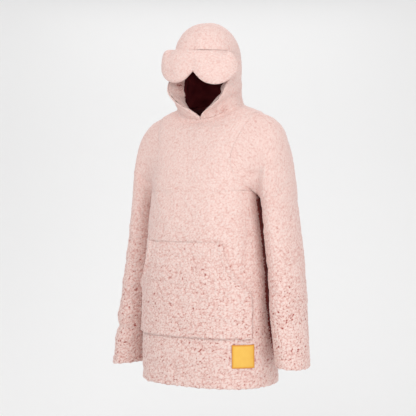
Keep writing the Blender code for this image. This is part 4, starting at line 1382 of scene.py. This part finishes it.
class HOODIE_OT_mask(bpy.types.Operator):
    """Pads the eye-mask flap and sews it to the brim"""
    bl_idname = "hoodie.mask"
    bl_label = "Eye-mask flap"

    def execute(self, context):
        sizes = context.scene.hoodie_sizes
        half = np.array(MASK)
        knots = measured(half[:, :3], 0)
        share = np.linspace(0.0, knots[-1], MASK_CELLS + 1)
        right = hermite(knots, half, share)
        right[0, 0] = 0.0
        left = right[:0:-1] * np.array([-1.0, 1.0, 1.0, 1.0])
        x, top_z, bottom_z, mid_y = np.concatenate([left, right]).T
        slope = x * np.tan(np.radians(MASK_TILT))
        top_z = top_z - slope
        bottom_z = np.minimum(bottom_z - slope, top_z - 0.0004)
        # The top edge lies on the brim, lets go of it over the outer third, and the cloth
        # leaves it downwards as (1 - part)^6, where part is 0 at the top and 1 at the bottom
        end = np.abs(x) / MASK[-1][0]
        hold = clamp((1 - end) / 0.32)
        top_y = mid_y + (brim_y(x, top_z) - MASK_OFF - mid_y) * hold
        part = (1 - np.cos(np.linspace(0.0, np.pi, MASK_CELLS + 1)))[:, None] / 2
        z = top_z + (bottom_z - top_z) * part
        y = mid_y + (top_y - mid_y) * (1 - part) ** 6 - MASK_SWING * part
        # The padding swells from the top seam, and falls off round the ends and the bottom
        crown = (1 - clamp(1 - part / 0.45) ** 2) ** 0.8
        crown = crown * clamp(1 - clamp(2 * part - 1) ** 4) ** 0.5
        crown = crown * clamp(1 - end ** 4) ** 0.5
        nose = 0.0030 * bell(x, 0.020) * part
        ahead = MASK_EDGE + (sizes.padding - MASK_EDGE - nose) * crown
        behind = MASK_EDGE + 0.001 * crown
        base = turned(np.stack([x + 0 * z, y - ahead, z], axis=-1), HOOD_TURN)
        back = turned(np.stack([x + 0 * z, y + behind, z], axis=-1), HOOD_TURN)
        around = np.gradient(base, axis=1)
        along = np.gradient(base, axis=0)
        normal = unit(np.cross(around, along))
        forward = turned(np.array([0.0, -1.0, 0.0]), HOOD_TURN)
        normal *= np.sign(np.sum(normal * forward))
        edge = np.minimum(part, 1 - part)
        fade = clamp(edge / 0.012) * clamp((1 - end) / 0.01)
        curls = pile(base, sizes)
        dimples = creases(x + 0 * z, z, MASK_DIMPLES)
        lift = (dimples + nap(base) + (curls - 0.5) * sizes.pile_height * growth(base)) * fade
        outer = base + lift[..., None] * normal
        # The mask's tone is the curls' tone, partly painted shade between them
        piece = cloth(
            "eye_mask_cloth", outer, back, normal,
            fleece_material(context.scene.hoodie_colours),
            attributes={"pile": MIDDLE_TONE + 0.5 * (curls - 0.5)})
        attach(piece, "root")
        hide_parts("eye_mask_flap")
        return {"FINISHED"}


class HOODIE_OT_stage(bpy.types.Operator):
    """Sets up the pale floor, the soft studio light and the camera"""
    bl_idname = "hoodie.stage"
    bl_label = "Stage"

    def execute(self, context):
        scene = context.scene
        colours = scene.hoodie_colours
        along = np.linspace(0.0, 1.0, 49)
        flat = clamp(along / LEVEL_SHARE) * PAPER_LENGTH
        bend = clamp((along - LEVEL_SHARE) / BEND_SHARE) * np.pi / 2
        rise = clamp(along - LEVEL_SHARE - BEND_SHARE) / LEVEL_SHARE * PAPER_LENGTH
        depth = PAPER_START + flat + PAPER_BEND * np.sin(bend)
        height = PAPER_Z + PAPER_BEND * (1 - np.cos(bend)) + rise
        width = np.linspace(-PAPER_HALF_WIDTH, PAPER_HALF_WIDTH, 9)
        floor = np.stack(
            np.broadcast_arrays(width, depth[:, None], height[:, None]), axis=-1)
        floor = turned(floor, AZIMUTH)
        index = np.arange(floor[..., 0].size).reshape(floor.shape[:2])
        paper = mesh_object(
            "studio_paper", floor.reshape(-1, 3), [grid_quads(index, False)],
            paper_material(colours))
        self.lights(scene)
        data = bpy.data.cameras.new("camera")
        data.sensor_width = SENSOR_WIDTH
        data.lens = SENSOR_WIDTH * FOCAL_PIXELS / FRAME_PIXELS
        camera = bpy.data.objects.new("camera", data)
        turn = np.radians(AZIMUTH)
        away = np.array([np.sin(turn), -np.cos(turn), 0.0])
        aside = np.array([np.cos(turn), np.sin(turn), 0.0])
        camera.location = CAMERA_DISTANCE * away - CAMERA_SHIFT * aside + [0.0, 0.0, CAMERA_Z]
        camera.rotation_euler = (np.pi / 2, 0.0, turn)
        scene.collection.objects.link(camera)
        scene.camera = camera
        scene.view_settings.view_transform = "Standard"
        return {"FINISHED"}

    def lights(self, scene):
        """White room light and three large soft boxes: the key high at the camera's left,
        the fill at its right and as high as it is, and one high behind the hoodie."""
        world = bpy.data.worlds.new("studio")
        scene.world = world
        world.use_nodes = True
        background = world.node_tree.nodes["Background"]
        background.inputs["Color"].default_value = linear("#FFFFFF")
        background.inputs["Strength"].default_value = ROOM_LIGHT
        for name, azimuth, elevation, distance, size, power in LIGHTS:
            lamp = bpy.data.lights.new(name, "AREA")
            lamp.shape = "RECTANGLE"
            lamp.size = size
            lamp.size_y = size
            lamp.energy = power
            holder = bpy.data.objects.new(name, lamp)
            turn = np.radians(AZIMUTH + azimuth)
            tilt = np.radians(elevation)
            way = np.array([
                np.sin(turn) * np.cos(tilt), -np.cos(turn) * np.cos(tilt), np.sin(tilt)])
            holder.location = distance * way + [0.0, 0.0, CAMERA_Z]
            holder.rotation_euler = (np.pi / 2 - tilt, 0.0, turn)
            scene.collection.objects.link(holder)


class HOODIE_PT_sidebar(bpy.types.Panel):
    """Lists the hoodie's sizes, colours and pieces"""
    bl_idname = "HOODIE_PT_sidebar"
    bl_label = "Sherpa hoodie"
    bl_space_type = "VIEW_3D"
    bl_region_type = "UI"
    bl_category = "Hoodie"

    def draw(self, context):
        for group in (context.scene.hoodie_sizes, context.scene.hoodie_colours):
            for name in group.__annotations__:
                self.layout.prop(group, name)
        for operator in OPERATORS:
            self.layout.operator(operator.bl_idname)


OPERATORS = (
    HOODIE_OT_body, HOODIE_OT_sleeves, HOODIE_OT_hood, HOODIE_OT_facing, HOODIE_OT_lining,
    HOODIE_OT_pocket, HOODIE_OT_label, HOODIE_OT_mask, HOODIE_OT_stage)
CLASSES = (HoodieSizes, HoodieColours, *OPERATORS, HOODIE_PT_sidebar)


def register():
    for item in CLASSES:
        bpy.utils.register_class(item)
    bpy.types.Scene.hoodie_sizes = PointerProperty(type=HoodieSizes)
    bpy.types.Scene.hoodie_colours = PointerProperty(type=HoodieColours)


def unregister():
    del bpy.types.Scene.hoodie_colours
    del bpy.types.Scene.hoodie_sizes
    for item in reversed(CLASSES):
        bpy.utils.unregister_class(item)


def main():
    register()
    bpy.ops.hoodie.body()
    bpy.ops.hoodie.sleeves()
    bpy.ops.hoodie.hood()
    bpy.ops.hoodie.facing()
    bpy.ops.hoodie.lining()
    bpy.ops.hoodie.pocket()
    bpy.ops.hoodie.label()
    bpy.ops.hoodie.mask()
    bpy.ops.hoodie.stage()


if __name__ == "__main__":
    main()
